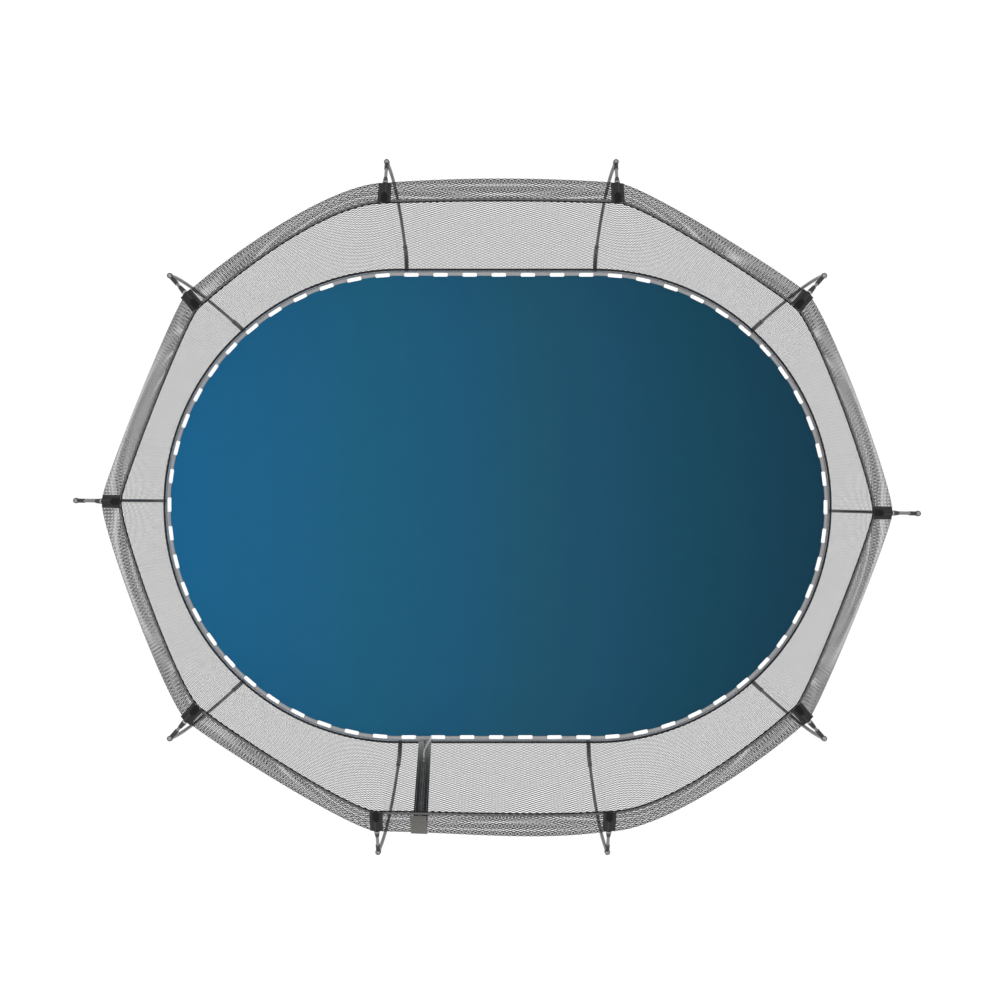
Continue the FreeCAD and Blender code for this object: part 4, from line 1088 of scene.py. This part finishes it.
for piece, node, body in ((stop, "zip_top_stop", "root"), (slider, "zip_slider", "zip"),
                          (tab, "zip_pull_tab", "zip")):
    piece.data.transform(doorFrame)
    piece.data.materials.clear()
    slideMetal.on(piece)
    standsFor(piece, body, node)
print("zip slider and stop")


# ---- rods under the mat ----

def shapeIslands(mesh):
    # groups a mesh's points into its separate solids
    group = list(range(len(mesh.vertices)))

    def rootOf(spot):
        while group[spot] != spot:
            group[spot] = group[group[spot]]
            spot = group[spot]
        return spot
    for edge in mesh.edges:
        group[rootOf(edge.vertices[0])] = rootOf(edge.vertices[1])
    islands = {}
    for vertex in mesh.vertices:
        islands.setdefault(rootOf(vertex.index), []).append(vertex.co)
    return list(islands.values())


rod = {"radius": 0.0048, "steps": 24, "stillBelow": 0.40, "movingAbove": 0.84}
rodMatrices = []
for island in shapeIslands(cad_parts["mat_rods"].data):
    points = numpy.array([tuple(point) for point in island])
    middle = points.mean(axis=0)
    line = numpy.linalg.svd(points - middle, full_matrices=False)[2][0]
    line = Vector(line if line[2] > 0 else -line)
    along = [(Vector(point) - Vector(middle)).dot(line) for point in points]
    foot = Vector(middle) + line * min(along)
    turn = line.to_track_quat("Z", "Y").to_matrix().to_4x4()
    rodMatrices.append(Matrix.Translation(foot) @ turn @ Matrix.Diagonal((1, 1, max(along) - min(along), 1)))
rodMaster = primitive("cylinder", "Rod", (1, 1, 1), (0, 0, 0.5), vertices=20, radius=rod["radius"], depth=1.0)
edit(rodMaster, "EDGE", lambda edge: abs(edge.verts[0].co.z - edge.verts[1].co.z) > 0.5,
     ("subdivide", {"number_cuts": rod["steps"]}))
smoothByAngle(rodMaster)
rodPaint = Paint("fibreglass_rod", Roughness=0.35, Coat_Weight=0.3)
streak = rodPaint.noise(4.0, 3.0, (60, 60, 4))
rodPaint.worn(streak, rgb(22, 22, 24), rgb(44, 44, 46), 0.2, 0.3)
rodPaint.on(rodMaster)
rods = joinedCopies("Mat_rods", rodMaster, rodMatrices)
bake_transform(rods)
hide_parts("mat_rods")
print("mat rods")


# ---- finishes for the tubes, clamps, tips and feet kept from the frame ----

def tubePaint(name, low, high, roughness, metallic=0.0, coat=0.0, relief=0.0002):
    # a solid finish with cloudy wear, fine grain and light scuffs
    paint = Paint(name, Metallic=metallic, Roughness=roughness, Coat_Weight=coat)
    cloud = paint.noise(6.0, 4.0)
    grain = paint.noise(700.0)
    scuff = paint.noise(3.0, 5.0, (30, 30, 4), 0.7) > 0.66
    shade = paint.mixed(cloud, low, high)
    paint.colour(paint.mixed(scuff * 0.25, shade, rgb(150, 150, 150)))
    paint.rough(cloud * 0.2 + grain * 0.15 + (roughness - 0.17))
    paint.bump(grain * 0.7 + cloud * 0.3, relief)
    return paint


finishes = {
    tubePaint("frame_powder_coat", rgb(20, 20, 22), rgb(40, 40, 43), 0.5, coat=0.2):
        ("side_rails", "corner_rails", "end_rails", "ring_clamps", "base_tees", "leg_uprights",
         "side_base_tubes", "end_base_tubes", "pole_brackets"),
    tubePaint("tip_plastic", rgb(10, 10, 11), rgb(22, 22, 24), 0.55, relief=0.0001):
        ("rod_tips", "pole_ferrules", "pole_tips"),
    tubePaint("foot_rubber", rgb(18, 18, 18), rgb(42, 42, 41), 0.85, relief=0.0006): ("foot_pads",),
    tubePaint("pole_tube_coat", rgb(78, 78, 78), rgb(98, 98, 98), 0.45, coat=0.15): ("pole_lower_tubes",),
    tubePaint("pole_rod_coat", rgb(82, 82, 82), rgb(104, 104, 104), 0.45, coat=0.15):
        ("net_poles", "pole_upper_rods"),
    tubePaint("bolt_zinc", rgb(150, 152, 154), rgb(190, 192, 194), 0.35, metallic=1.0, relief=0.0001):
        ("bracket_bolts",),
    tubePaint("ring_plastic", rgb(122, 122, 122), rgb(150, 150, 150), 0.4, relief=0.0001):
        ("pole_tip_rings",)}
for finish, nodes in finishes.items():
    for node in nodes:
        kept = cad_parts[node]
        kept.data.materials.clear()
        finish.on(kept)
print("finishes")
